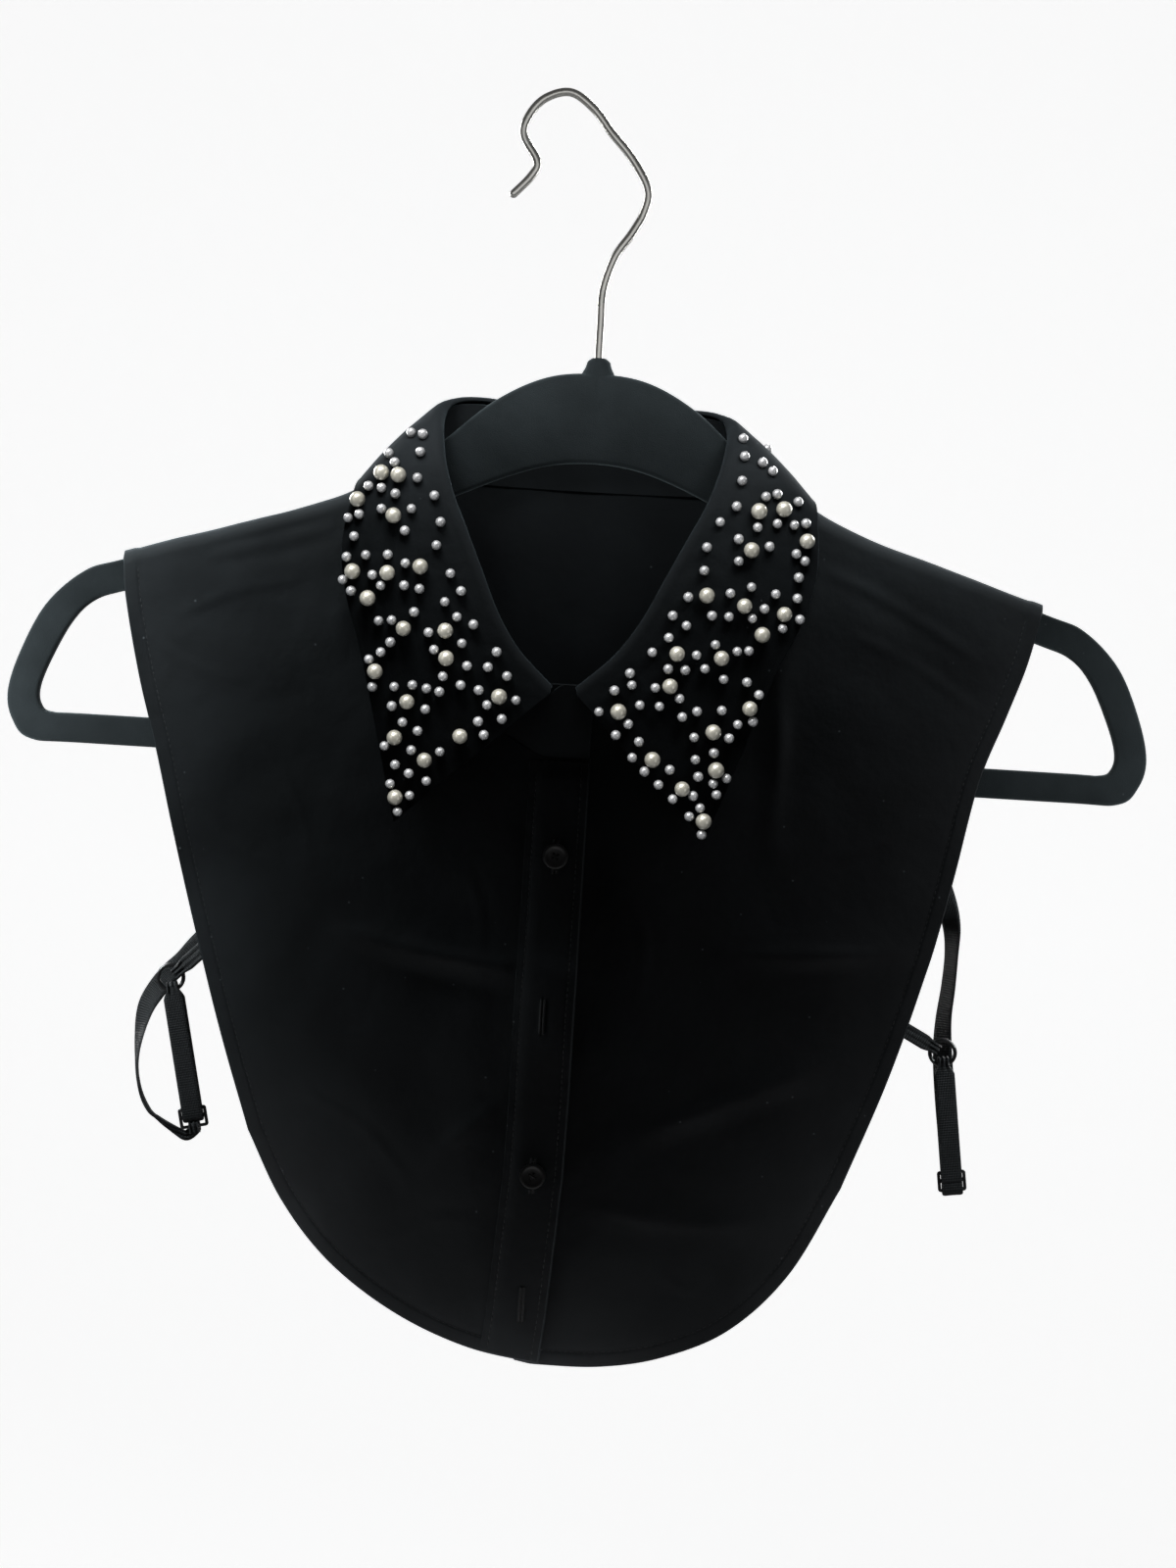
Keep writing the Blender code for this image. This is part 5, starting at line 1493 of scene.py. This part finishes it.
BUTTONS = (
    # node, panel, place, out of the panel's inner face, turn
    ("button_top", "right", (-4.8, -71.0), PLACKET_OUT + 0.2, 12.0),
    ("button_low", "right", (-6.2, -195.0), PLACKET_OUT + 0.2, -20.0),
    ("button_middle", "left", (-5.5, -133.0), CLOTH + 0.4, 35.0),
)
thread_points, thread_faces = [], []
for node, panel, place, out, turn in BUTTONS:
    seat = frame_at(panel, place, out, turn)
    points, faces = spun(BUTTON_PROFILE)
    turned = piece("shirt_" + node, seated(points, seat), faces, BUTTON_RESIN)
    sewn_on(combined(turned, "DIFFERENCE", (drill(hole, seat) for hole in HOLES), 38.0), "gloss_button", node)
    for a, b in ((0, 2), (1, 3)):
        for shift in (-0.16, 0.16):
            first, last = (np.array((HOLES[i][0], HOLES[i][1] + shift, 0.6)) for i in (a, b))
            points, faces = cord_between(first, last, 0.35)
            base = sum(len(rows) for rows in thread_points)
            thread_points.append(seated(points, seat))
            thread_faces += [[i + base for i in face] for face in faces]
sewn_on(piece("button_thread", np.concatenate(thread_points), thread_faces, THREAD), "black_poplin")

# %% [markdown]
# ## The collar stand
#
# The stand is the band round the neck that holds the collar up. Sections run round the neck, each from the
# neck seam up to the fold, and a smooth surface goes through them. Its left end laps behind the right one.


# %% The collar stand
NEAR_SEAM = 0.35
SEAM_IN = 1.9  # how far in from a collar's edge its line of stitching is pressed
STAND_COLUMNS = np.array((0.0, 0.05, 0.085, 0.11, 0.14, 0.2, 0.35, 0.5, 0.65, 0.8, 0.9, 1.0))


def on_shoulder(x, angle, out):
    reach = SHOULDER_ROLL + out
    a = math.radians(angle)
    middle = float(shoulder_top(x)) - SHOULDER_ROLL
    return np.array((x, reach * math.sin(a), middle + reach * math.cos(a)))


def section_point(across, z, angle, out, behind, side, line):
    """A section's point on the cloth, or on the shoulder's round where it has an angle."""
    if angle is not None:
        return on_shoulder(line(across, NECK_END[1] if line is neck_x else EDGE_END_Z, side), angle, out)
    panel = "back" if behind else "right" if side < 0 else "left"
    place = np.array([(line(across, z, side), z)])
    return on_cloth(panel, place, np.array([out]))[0][0]


def seam_point(row, side):
    out = CLOTH / 2 + (0.15 if row[5] is not None else 0.0)
    return section_point(*row[3:6], out, row[1] > 0, side, neck_x)


def edge_point(row, side):
    return section_point(*row[6:9], CLOTH + LIFT, row[1] > 0, side, edge_x)


def stand_top(row, side):
    across, y, z = row[:3]
    fold, seam = np.array((neck_x(across, z, side), y, z)), seam_point(row, side)
    rise = 0.0 if row[6] is None else ROLL_RISE
    return fold - rise * unit(fold - seam)


def around_neck(first):
    right = [(row, -1.0) for row in NECK[first:-1]]
    left = [(row, 1.0) for row in NECK[first:]]
    return right + left[::-1]


def grid_normals(grid):
    return unit(np.cross(np.gradient(grid, axis=0), np.gradient(grid, axis=1)))


def stand_grid():
    sections = []
    for row, side in around_neck(0):
        seam, fold = seam_point(row, side), stand_top(row, side)
        if side > 0 and row[1] < 0:
            fold[1] += STAND_LAP * (1.0 - float(smoothstep((row[0] - 12.0) / 12.0)))
        start = seam + unit(fold - seam) * NEAR_SEAM
        sections.append([start, fold])
    ends = smooth(np.array(sections), 9)
    share = STAND_COLUMNS[None, :, None]
    return ends[:, :1] * (1 - share) + ends[:, 1:] * share


stand_middle = stand_grid()
stand_normal = grid_normals(stand_middle)
if stand_normal[:, 5].dot((0.0, -1.0, 0.0))[: len(stand_normal) // 5].mean() < 0:
    stand_normal = -stand_normal
high = np.linalg.norm(stand_middle[:, -1] - stand_middle[:, 0], axis=1)[:, None] * STAND_COLUMNS
stand_groove = 0.06 * bell(high - SEAM_IN, 0.5)
half = STAND_WALL / 2
stand_out = stand_middle + stand_normal * (half - stand_groove)[..., None]
stand_in = stand_middle - stand_normal * half
walked = distances(stand_middle[:, 6])[:, None]
points, faces = shell(stand_in, stand_out)
threads = rim_threads(np.stack([walked + 0 * high, high], axis=2))
stand = piece("neck_stand", points, faces, BODY_POPLIN, threads)
sewn_on(stand, "black_poplin", "collar_stand")

# %% [markdown]
# ## The fall
#
# The fall is the part of the collar that turns over and shows. It rolls over the stand's top edge and lies
# on the shoulders, down to two long points. The sections are the stand's, carried on over a soft roll. The
# weight of the pearls dimples it, and small drags run from one pearl towards its neighbours.


# %% The fall's form
FALL_SHARES = (0.13, 0.36, 0.68, 1.0)
FALL_LOWER, FALL_UPPER = 0.5, 1.8
DRAG_LEAST, DRAG_MOST = 6.0, 14.0  # the gaps between pearls that a drag in the cloth bridges
ROLL_LONG = 8.0
EDGE_STEPS = np.array((3.0, 2.3, 1.9, 1.5, 0.9, 0.3, 0.0))  # closer rows of points before the edge


def fall_form():
    """The fall's inner face on a grid: sections round the neck, points from the fold to the edge."""
    places = around_neck(FALL_FIRST)
    sections = [[point(row, side) for point in (seam_point, stand_top, edge_point)] for row, side in places]
    sections = smooth(np.array(sections), 10)
    around = np.gradient(sections[:, 1], axis=0)
    grid = []
    for (seam, fold, edge), forward in zip(sections, around):
        rise = unit(fold - seam)
        out = unit(np.cross(rise, forward))
        line = [fold + rise * up + out * away for up, away in FOLD_ROLL]
        start = line[-1]
        for share in FALL_SHARES:
            line.append(start + (edge - start) * share + out * FALL_BULGE * math.sin(math.pi * share))
        line = smooth(np.array(line), 8)
        long = distances(line)[-1]
        roll_steps = np.linspace(0.0, ROLL_LONG, 13)[:-1]
        middle = np.linspace(ROLL_LONG, long - EDGE_STEPS[0], 50)[:-1]
        grid.append(at_distances(line, np.concatenate([roll_steps, middle, long - EDGE_STEPS])))
    return np.array(grid)


fall_inner = fall_form()
fall_normal = grid_normals(fall_inner)
print("fall:", fall_inner.shape[:2], "points")

# %% [markdown]
# The pearls are sewn on by hand, with the large ones spread evenly and the small ones strewn between them.
# Their places on each leaf are flat ones (x, z), to half a millimetre, as on a chart pinned to its front. On
# the back the small ones are strewn at random from a fixed seed, no two closer than a set gap.


# %% The pearls' places
LARGE_PLACES = (
    # right_x, right_z, left_x, left_z
    (-80, 72, 65, 66), (-73.5, 71.5, 74.5, 67.5), (-88.5, 61.5, 63, 51), (-74.5, 56, 84, 56),
    (-89, 34, 47, 32.5), (-75.5, 34, 61.5, 29.5), (-63, 37, 77, 27.5), (-82.5, 24, 69, 19),
    (-68, 13, 37, 9.5), (-52, 13, 54, 9), (-51, 2.5, 35, -3), (-78, -4, 66, -9.5), (-65, -15, 16, -14),
    (-30, -11, 52.5, -19.5), (-69, -29, 30, -31.5), (-44, -27, 54.5, -34), (-57, -37, 42, -42),
    (-67.5, -52, 51, -54),
)
BACK_PLACES = (
    (-10, 84, 5.5, 83), (-30, 62, 22, 60.5), (-36.5, 89, 31, 88), (-49, 74, 42, 75), (-58, 58.5, 54, 58),
    (-69, 72, 63, 71),
)
SMALL_RIGHT = (
    (-70, 88.5), (-65.5, 88), (-66, 81), (-78, 80), (-75.5, 76.5), (-66.5, 71), (-85, 67), (-80, 66.5),
    (-74.5, 64.5), (-59.5, 64.5), (-79.5, 58.5), (-68, 59), (-88, 56), (-92.3, 54.5), (-56.5, 54.5),
    (-70, 50.5), (-89.5, 47.5), (-57.5, 45.5), (-92, 39.5), (-84.5, 40.5), (-76, 41), (-69, 38),
    (-81.5, 33), (-93.5, 30.5), (-78, 29), (-89.5, 26.5), (-69, 29.5), (-63, 28.5), (-51.5, 35),
    (-47, 28.5), (-53, 24), (-64.5, 19.5), (-78, 15.5), (-73, 16), (-48, 18.5), (-41.5, 16), (-58.5, 12),
    (-73, 7.5), (-45.5, 8.5), (-56, 5.5), (-76.5, 3.5), (-81, 0.5), (-32, 6), (-43, 0), (-35, 0),
    (-52, -4.5), (-27.5, -3), (-79, -10), (-70.5, -9.5), (-63.5, -8.5), (-58, -9.5), (-53, -10.5),
    (-45, -7.5), (-38, -9), (-34.5, -14.5), (-23.5, -12), (-71, -17), (-58, -17.5), (-66.5, -23),
    (-60.5, -26), (-37.5, -21), (-28.5, -19.5), (-35, -26), (-73, -32.5), (-62.5, -33.5), (-51.5, -33.5),
    (-68.5, -39.5), (-63, -42.5), (-56, -45), (-70, -47), (-62.2, -51), (-66.5, -57.5),
)
SMALL_LEFT = (
    (57.5, 94), (58.5, 87), (65.5, 85), (69.5, 82), (58, 77.5), (67.5, 72), (71.8, 73.3), (80, 71),
    (56.5, 67.5), (50.5, 61), (72.5, 62), (65, 60), (79, 62), (83.5, 63), (58, 55), (70, 53), (46, 51),
    (80.5, 51), (84, 48.5), (58.5, 46.5), (45.5, 42), (82, 42), (64, 37), (73.5, 35), (56, 34), (82, 34),
    (40, 31.5), (69.5, 29), (56, 25), (49.5, 25), (65, 25), (83.5, 26), (34.5, 24), (40, 20.5), (77, 22),
    (33.5, 15.5), (51.5, 14), (27.5, 9.5), (44.5, 9.5), (60, 12), (64.5, 12.5), (34, 3.5), (40.5, 3.5),
    (48, 4.5), (55.5, 1), (64.5, 0.5), (19.5, 1), (20.5, -3.5), (29.5, -4), (39, -7.5), (69.5, -4),
    (14, -6), (24, -11), (31.5, -11), (46, -12), (55.5, -11), (40.5, -14.5), (8.5, -14.5), (67.8, -14.5),
    (20, -18.5), (62, -16), (15.5, -23), (24.5, -25), (45.5, -22), (59, -21.5), (53.5, -27.5),
    (21.5, -31), (46.5, -30.5), (26.5, -36), (37, -35), (48, -37), (59, -37), (33, -41), (54, -39.3),
    (46.5, -44.5), (55.5, -43.5), (38.8, -46.2), (49.5, -49), (45.5, -52.5), (50.8, -59.2),
)


STREWN_X, STREWN_Z = (-78.0, 72.0), (50.0, 95.0)


def strewn(taken, count, gap, seed):
    """Random places on the back of the collar, each at least a gap from every other."""
    dice = np.random.default_rng(seed)
    kept = []
    while len(kept) < count:
        place = np.array((dice.uniform(*STREWN_X), dice.uniform(*STREWN_Z)))
        if all(np.linalg.norm(place - other) > gap for other in list(taken) + kept):
            kept.append(place)
    return np.array(kept)


large_front = np.array(LARGE_PLACES).reshape(-1, 2)
large_back = np.array(BACK_PLACES).reshape(-1, 2)
small_front = np.array(SMALL_RIGHT + SMALL_LEFT, float)
small_back = strewn(large_back, count=44, gap=7.0, seed=4)
print("pearls:", len(large_front) + len(large_back), "large,", len(small_front) + len(small_back), "small")

# %% Pearls on the fall
fall_index = np.arange(fall_inner[..., 0].size).reshape(fall_inner.shape[:2])
fall_corners = (fall_index[:-1, :-1], fall_index[:-1, 1:], fall_index[1:, 1:], fall_index[1:, :-1])
fall_quads = np.stack(fall_corners, axis=-1).reshape(-1, 4).tolist()
fall_outer = fall_inner + fall_normal * FALL_UPPER
fall_face = BVHTree.FromPolygons([Vector(p) for p in fall_outer.reshape(-1, 3)], fall_quads)


def on_fall(places, looks_from):
    """Points on the fall's outer face straight behind flat places, and the directions that it faces."""
    points, facing = [], []
    for x, z in places:
        hit = fall_face.ray_cast(Vector((x, looks_from * 60.0, z)), Vector((0.0, -looks_from, 0.0)))
        if hit[0] is None:
            hit = fall_face.find_nearest(Vector((x, looks_from * 8.0, z)))
        normal = hit[1] if hit[1].y * looks_from > 0 or abs(hit[1].y) < 0.3 else -hit[1]
        points.append(hit[0])
        facing.append(normal)
    return np.array(points), np.array(facing)


pearl_seats = {}
for label, front, back in (("large", large_front, large_back), ("small", small_front, small_back)):
    seats = [on_fall(front, -1.0), on_fall(back, 1.0)]
    pearl_seats[label] = [np.concatenate(pair) for pair in zip(*seats)]

# %% The fall, dimpled by its pearls
flat_outer = fall_outer.reshape(-1, 3)
sunk = np.zeros(len(flat_outer))
for label, reach, depth in (("large", 3.6, 0.42), ("small", 2.6, 0.26)):
    for point in pearl_seats[label][0]:
        near = np.flatnonzero(np.abs(flat_outer - point).max(axis=1) < 3 * reach)
        away = np.linalg.norm(flat_outer[near] - point, axis=1)
        sunk[near] += depth * (bell(away, reach) - 0.12 * bell(away - 2 * reach, reach))
seats = np.concatenate([pearl_seats["large"][0], pearl_seats["small"][0]])
for point in seats:
    to_others = seats - point
    step = to_others[np.argsort(np.linalg.norm(to_others, axis=1))[1]]
    if DRAG_LEAST < np.linalg.norm(step) < DRAG_MOST:
        along = np.clip((flat_outer - point) @ step / (step @ step), 0.0, 1.0)
        away = np.linalg.norm(flat_outer - point - along[:, None] * step, axis=1)
        sunk -= 0.16 * np.sin(math.pi * along) * bell(away, 1.3)
sunk = np.clip(sunk, -0.4, 0.75).reshape(fall_inner.shape[:2])
to_edge = np.linalg.norm(fall_inner - fall_inner[:, -1:], axis=2)
fall_outer = fall_outer - fall_normal * (sunk + 0.07 * bell(to_edge - SEAM_IN, 0.45))[..., None]
points, faces = shell(fall_inner + fall_normal * FALL_LOWER, fall_outer)
walked = distances(fall_inner[:, 20])[:, None]
threads = rim_threads(np.stack([walked + 0 * to_edge, to_edge], axis=2))
fall = piece("pearled_fall", points, faces, COLLAR_POPLIN, threads)
sewn_on(fall, "pearl_trimmed_poplin", "collar_fall")

# %% [markdown]
# ## The pearls
#
# Every pearl is the same ball at another place, so they are points with a direction, and Geometry Nodes put
# a ball on each. A little randomness in size keeps them from looking stamped. Each sinks slightly into the
# cloth that its thread pulls it against.


# %% The pearls
def bead_tree():
    given = (("Places", "Geometry"), ("Radius", "Float"), ("Rise", "Float"), ("Sides", "Int"))
    given += (("Rings", "Int"), ("Seed", "Int", 5), ("Finish", "Material"))
    tree, start, end = new_group("beads on points", "Geometry", given, (("Mesh", "Geometry"),))
    facing = add(tree, "GeometryNodeInputNamedAttribute", data_type="FLOAT_VECTOR", Name="facing")
    lift = add(tree, "ShaderNodeVectorMath", ((0, facing, 0), ("Scale", start, "Rise")), operation="SCALE")
    places = add(tree, "GeometryNodeMeshToPoints", (("Mesh", start, "Places"),))
    raised = add(tree, "GeometryNodeSetPosition", (("Geometry", places, 0), ("Offset", lift, 0)))
    links = (("Segments", start, "Sides"), ("Rings", start, "Rings"), ("Radius", start, "Radius"))
    ball = add(tree, "GeometryNodeMeshUVSphere", links)
    uneven = add(tree, "FunctionNodeRandomValue", (("Seed", start, "Seed"),), data_type="FLOAT")
    uneven.inputs[2].default_value, uneven.inputs[3].default_value = 0.95, 1.03
    upright = add(tree, "FunctionNodeAlignRotationToVector", (("Vector", facing, 0),), axis="Z")
    links = (("Points", raised, 0), ("Instance", ball, 0), ("Rotation", upright, 0), ("Scale", uneven, 1))
    return dressed(tree, start, end, add(tree, "GeometryNodeInstanceOnPoints", links))


PEARL_SUNK = 0.75
PEARLS = (
    # label, width, sides, rings, finish
    ("large", 6.2, 18, 12, LARGE_PEARL),
    ("small", 4.0, 10, 7, SMALL_PEARL),
)
BEADS = bead_tree()
for label, wide, sides, rings, finish in PEARLS:
    places, facing = pearl_seats[label]
    mesh = polyline(label + "_pearl_places", places, facing=facing)
    values = {"Radius": wide / 2 * MM, "Rise": (wide / 2 - PEARL_SUNK) * MM, "Sides": sides, "Rings": rings}
    pearls = run_tree(label + "_pearls", BEADS, mesh, {**values, "Finish": finish})
    pearls.data.shade_smooth()
    sewn_on(pearls, "pearl_trimmed_poplin")

# %% [markdown]
# ## The side straps
#
# At each side an elastic comes from the back, passes through a slider and up round a ring that a short tab
# holds to the front. Elastic is a flat ribbed band with soft edges. Each band is a section carried along a
# path, with a width and a direction at every step, and where it is squeezed through a ring it pleats.


# %% Sizes of the straps
STRAP_WIDE = 8.0
STRAP_THICK = 1.0
STRAP_CLEAR = 0.35
TAB_WIDE = 6.0
GATHERED = 4.4
RING_ACROSS = 9.8
RING_WIRE = 1.6
RING_PASS = 2.0
SLIDER_BAR = 1.2
SLIDER_UPPER_SLOT = 2.0
SLIDER_LOWER_SLOT = 2.6
SLOT_DEEP = 4.0
SLOT_ROUND = 0.35
TAIL_LONG = 2.6  # of a strap's end past its slider's bar
STRAPS = {
    "right": {
        "tab_root": (-133.0, -109.0),
        "ring": (-151.5, -127.5),
        "slider": (-139.6, -181.0),
        "from_below": True,
        "end_wide": GATHERED,
        "long": (
            # x, y, z, turn: 0 faces the front and 90 shows its edge
            (-131, 2, -103, 0), (-141, 2.3, -113, 0), (-147, 3.6, -120.5, 0), (-152.6, 4.8, -126.2, 2),
            (-157.2, 4.7, -132.5, 8), (-161, 4, -140, 28), (-162.8, 2.9, -150.5, 58), (-163, 1.9, -162, 78),
            (-160.9, 1.6, -172.5, 86), (-157.2, 1.6, -179.6, 84), (-153.2, 1.7, -182.8, 74),
            (-149.4, 2.1, -185.4, 56), (-145.4, 2.3, -187.6, 34), (-141.9, 2.1, -188.8, 14),
        ),
    },
    "left": {
        "tab_root": (130.2, -128.0),
        "ring": (150.2, -138.5),
        "slider": (156.8, -187.8),
        "from_below": False,
        "end_wide": STRAP_WIDE,
        "long": (
            (142.5, 2, -66, 0), (147.5, 2.2, -77.5, 4), (151, 2.7, -89, 34), (151.8, 3.9, -100, 54),
            (151.4, 4.6, -113, 52), (150.4, 5.3, -126, 44), (150.8, 5.3, -139, 26), (152.6, 4.6, -155, 8),
            (154.8, 3.9, -171, 0), (156.4, 3.6, -182, 0), (157.2, 3.7, -188.8, 0),
        ),
    },
}
FRONT = np.array((0.0, -1.0, 0.0))

# %% A band along a path
BAND_ACROSS = np.array((-0.5, -0.46, -0.36, -0.24, -0.12, 0.0, 0.12, 0.24, 0.36, 0.46, 0.5))
BAND_HIGH = np.array((0.0, 0.36, 0.5, 0.47, 0.45, 0.44, 0.45, 0.47, 0.5, 0.36, 0.0))


def band(name, path, across, wide, node, closed=False):
    """An elastic: soft edges, a slightly hollow face, and pleats where it is narrower than it was woven."""
    path, across, wide = (np.asarray(rows, float) for rows in (path, across, wide))
    ahead = np.roll(path, -1, axis=0) - np.roll(path, 1, axis=0) if closed else np.gradient(path, axis=0)
    ahead = unit(ahead)
    beside = unit(across - ahead * (across * ahead).sum(axis=1, keepdims=True))
    normal = np.cross(ahead, beside)
    walked = distances(path)
    rings, threads = [], []
    for i in range(len(path)):
        squeezed = float(np.clip((STRAP_WIDE - wide[i]) / STRAP_WIDE, 0.0, 0.5))
        pleat = 0.9 * squeezed * np.cos(BAND_ACROSS * 6.28 * 2.5 + 0.4 * math.sin(walked[i] * 0.3))
        pleat *= np.clip((0.5 - np.abs(BAND_ACROSS)) * 8.0, 0.0, 1.0)
        upper = [(a, h + p / STRAP_THICK) for a, h, p in zip(BAND_ACROSS, BAND_HIGH, pleat)]
        lower = [(a, -h + p / STRAP_THICK) for a, h, p in zip(BAND_ACROSS, BAND_HIGH, pleat)][-2:0:-1]
        sideways, outwards = beside[i] * wide[i], normal[i] * STRAP_THICK
        rings.append([path[i] + sideways * a + outwards * h for a, h in upper + lower])
        threads.append([(a * STRAP_WIDE, walked[i]) for a, _ in upper + lower])
    points, faces = lofted(np.array(rings), closed)
    made = piece(name, points, faces, ELASTIC, np.array(threads).reshape(-1, 2), sharp=60.0)
    return sewn_on(made, "black_elastic", node)


def half_turn(centre, start, towards, reach, count=13):
    angles = np.linspace(0.0, math.pi, count)
    return [centre + reach * (math.cos(a) * start + math.sin(a) * towards) for a in angles]


def between(first, last, gap=1.5):
    count = max(2, round(float(np.linalg.norm(last - first)) / gap))
    return list(np.linspace(first, last, count + 1)[1:-1])


def widths_by_distance(path, ring_centre, full):
    away = np.linalg.norm((np.array(path) - ring_centre) * (1.0, 0.0, 1.0), axis=1)
    return GATHERED + (full - GATHERED) * smoothstep((away - 4.4) / 4.0)


# %% [markdown]
# The ring is a closed round wire. The slider is a flat moulded frame with two slots: bars with round edges,
# joined by a rounded outline that is cut through twice. Both shine, because they are the only hard parts.


# %% Ring and slider
def strap_ring(name, centre, down, level, node):
    rings = []
    for a in angles_round(7.5):
        outward = math.cos(a) * down + math.sin(a) * level
        middle = centre + outward * RING_ACROSS / 2
        wire = angles_round(30.0)
        rings.append([middle + RING_WIRE / 2 * (math.cos(b) * outward + math.sin(b) * FRONT) for b in wire])
    points, faces = lofted(np.array(rings), True)
    return sewn_on(piece(name, points, faces, SLIDER_NYLON), "black_nylon", node)


def rounded_plate(centre, down, level, tall, wide, thick, edge):
    """A flat plate with a rounded outline and soft edges, as rings from the front to the back."""
    outline_at = rounded_section(tall, wide, edge)
    rings = []
    for share, height in ((0.86, -0.5), (1.0, -0.3), (1.0, 0.3), (0.86, 0.5)):
        inset = (1.0 - share) * thick * 1.6
        shrink = np.array(((tall - 2 * inset) / tall, (wide - 2 * inset) / wide))
        middle = centre + FRONT * thick * height
        rings.append([middle + down * a * shrink[0] + level * b * shrink[1] for a, b in outline_at])
    return lofted(np.array(rings))


def strap_slider(name, centre, down, level, bars, node):
    upper, lower = bars
    wide = STRAP_WIDE + 2 * STRAP_CLEAR
    middle = centre + down * (upper + lower) / 2
    size = (lower - upper + SLIDER_BAR, wide + 2 * SLIDER_BAR, SLIDER_BAR, 1.1)
    body = piece(name, *rounded_plate(middle, down, level, *size), SLIDER_NYLON)
    slots = []
    for above, below in ((upper, 0.0), (0.0, lower)):
        middle = centre + down * (above + below) / 2
        size = (below - above - SLIDER_BAR, wide, SLOT_DEEP, SLOT_ROUND)
        slots.append(piece("slot", *rounded_plate(middle, down, level, *size), SLIDER_NYLON))
    return sewn_on(combined(body, "DIFFERENCE", slots, 35.0), "black_nylon", node)


# %% Both straps
def strap_set(side, plan):
    ring_centre = np.array((plan["ring"][0], 0.0, plan["ring"][1]))
    slider_centre = np.array((plan["slider"][0], 0.0, plan["slider"][1]))
    down = unit(slider_centre - ring_centre)
    level = unit(np.cross((0.0, 1.0, 0.0), down))
    strap_ring("ring_" + side, ring_centre, down, level, "strap_ring_" + side)

    layers = SLIDER_BAR * math.sqrt(0.5) + STRAP_CLEAR + STRAP_THICK / 2
    tab_root = np.array((plan["tab_root"][0], -2.1, plan["tab_root"][1]))
    to_tab = unit((tab_root - ring_centre) * (1.0, 0.0, 1.0))
    turn = half_turn(ring_centre + to_tab * (RING_PASS + layers), FRONT, -to_tab, layers)
    first, last = tab_root + FRONT * 0.7, tab_root - FRONT * 0.7
    path = [first, *between(first, turn[0]), *turn, *between(turn[-1], last), last]
    wide = widths_by_distance(path, ring_centre, TAB_WIDE)
    tab = band("tab_" + side, path, [np.cross(to_tab, FRONT)] * len(path), wide, "strap_tab_" + side)

    upper = half_turn(ring_centre + down * (RING_PASS + layers), FRONT, -down, layers)
    lower = half_turn(slider_centre, -FRONT, down, layers)
    path = [*upper, *between(upper[-1], lower[0]), *lower, *between(lower[-1], upper[0])]
    wide = widths_by_distance(path, ring_centre, STRAP_WIDE)
    loop = band("loop_" + side, path, [level] * len(path), wide, "strap_loop_" + side, closed=True)

    bars = (-(SLIDER_BAR + SLIDER_UPPER_SLOT), SLIDER_BAR + SLIDER_LOWER_SLOT)
    strap_slider("slider_" + side, slider_centre, down, level, bars, "strap_slider_" + side)

    over_bar = -down if plan["from_below"] else down
    wrap = half_turn(slider_centre + down * bars[1], -FRONT, over_bar, layers)
    rows = smooth([*plan["long"], (*(wrap[0] - over_bar * 1.4), 0.0)], 8)
    across = []
    for forward, angle in zip(np.gradient(rows[:, :3], axis=0), np.radians(rows[:, 3])):
        in_plane = unit((forward[2], 0.0, -forward[0]))
        across.append(math.cos(angle) * in_plane + math.sin(angle) * -FRONT)
    tail = wrap[-1] - over_bar * TAIL_LONG
    path = [*rows[:, :3], *wrap, *between(wrap[-1], tail, 0.7), tail]
    facing = level if np.dot(across[-1], level) > 0 else -level
    across = across[:-4] + [facing] * (len(path) - len(across) + 4)
    walked = distances(np.array(path))
    wide = STRAP_WIDE + (plan["end_wide"] - STRAP_WIDE) * smoothstep((walked / walked[-1] - 0.45) / 0.3)
    long = band("strap_" + side, path, across, wide, "strap_long_" + side)
    return {"tab": tab, "loop": loop, "long": long}


STRAP_PIECES = {side: strap_set(side, plan) for side, plan in STRAPS.items()}

# %% [markdown]
# ## Flags
#
# A photographer keeps a light off a piece with a flag, a black card on a stand. Here a lamp's light linking
# does that: it names a collection, and the lamp reaches only what is in it, or all but what is marked as
# excluded. The lights round the edge stand close to the cloth. They leave alone the collar, the pearls, the
# straps and the hanger, which have lights of their own, and the buttons, which only reflect the dim room.


# %% Flags
STRAP_NAMES = ("ring", "tab", "loop", "slider", "strap")


def flagged(title, names, left_out=False):
    """A collection of pieces that a lamp reaches, or of those that it leaves out."""
    held = bpy.data.collections.new(title)
    for name in names:
        held.objects.link(bpy.data.objects[name])
    for member in held.collection_objects:
        member.light_linking.link_state = "EXCLUDE" if left_out else "INCLUDE"
    return held


pearl_names = [label + "_pearls" for label in pearl_seats]
beside = ["flocked_hanger"] + [o.name for o in bpy.data.objects if o.name.split("_")[0] in STRAP_NAMES]
buttons = [o.name for o in bpy.data.objects if o.name.startswith("shirt_button")]
lit_otherwise = pearl_names + ["wire_hook"] + beside + buttons + ["pearled_fall"]
beside_cloth = flagged("left out of the edge lights", lit_otherwise, left_out=True)
for lamps, reached in (
    (edge_lights, beside_cloth),
    (hanger_lights, flagged("hanger and straps", beside)),
    (collar_lights, flagged("collar", ["pearled_fall"])),
    ([neck_light], flagged("round the neck", ["back_panel", "neck_stand", "pearled_fall"])),
    (pearl_lights, flagged("pearls", pearl_names)),
    ([hook_light], flagged("hook", ["wire_hook"])),
):
    for lamp in lamps:
        lamp.light_linking.receiver_collection = reached
shadowless = flagged("casts no shadow here", ["flocked_hanger"], left_out=True)
neck_light.light_linking.blocker_collection = shadowless
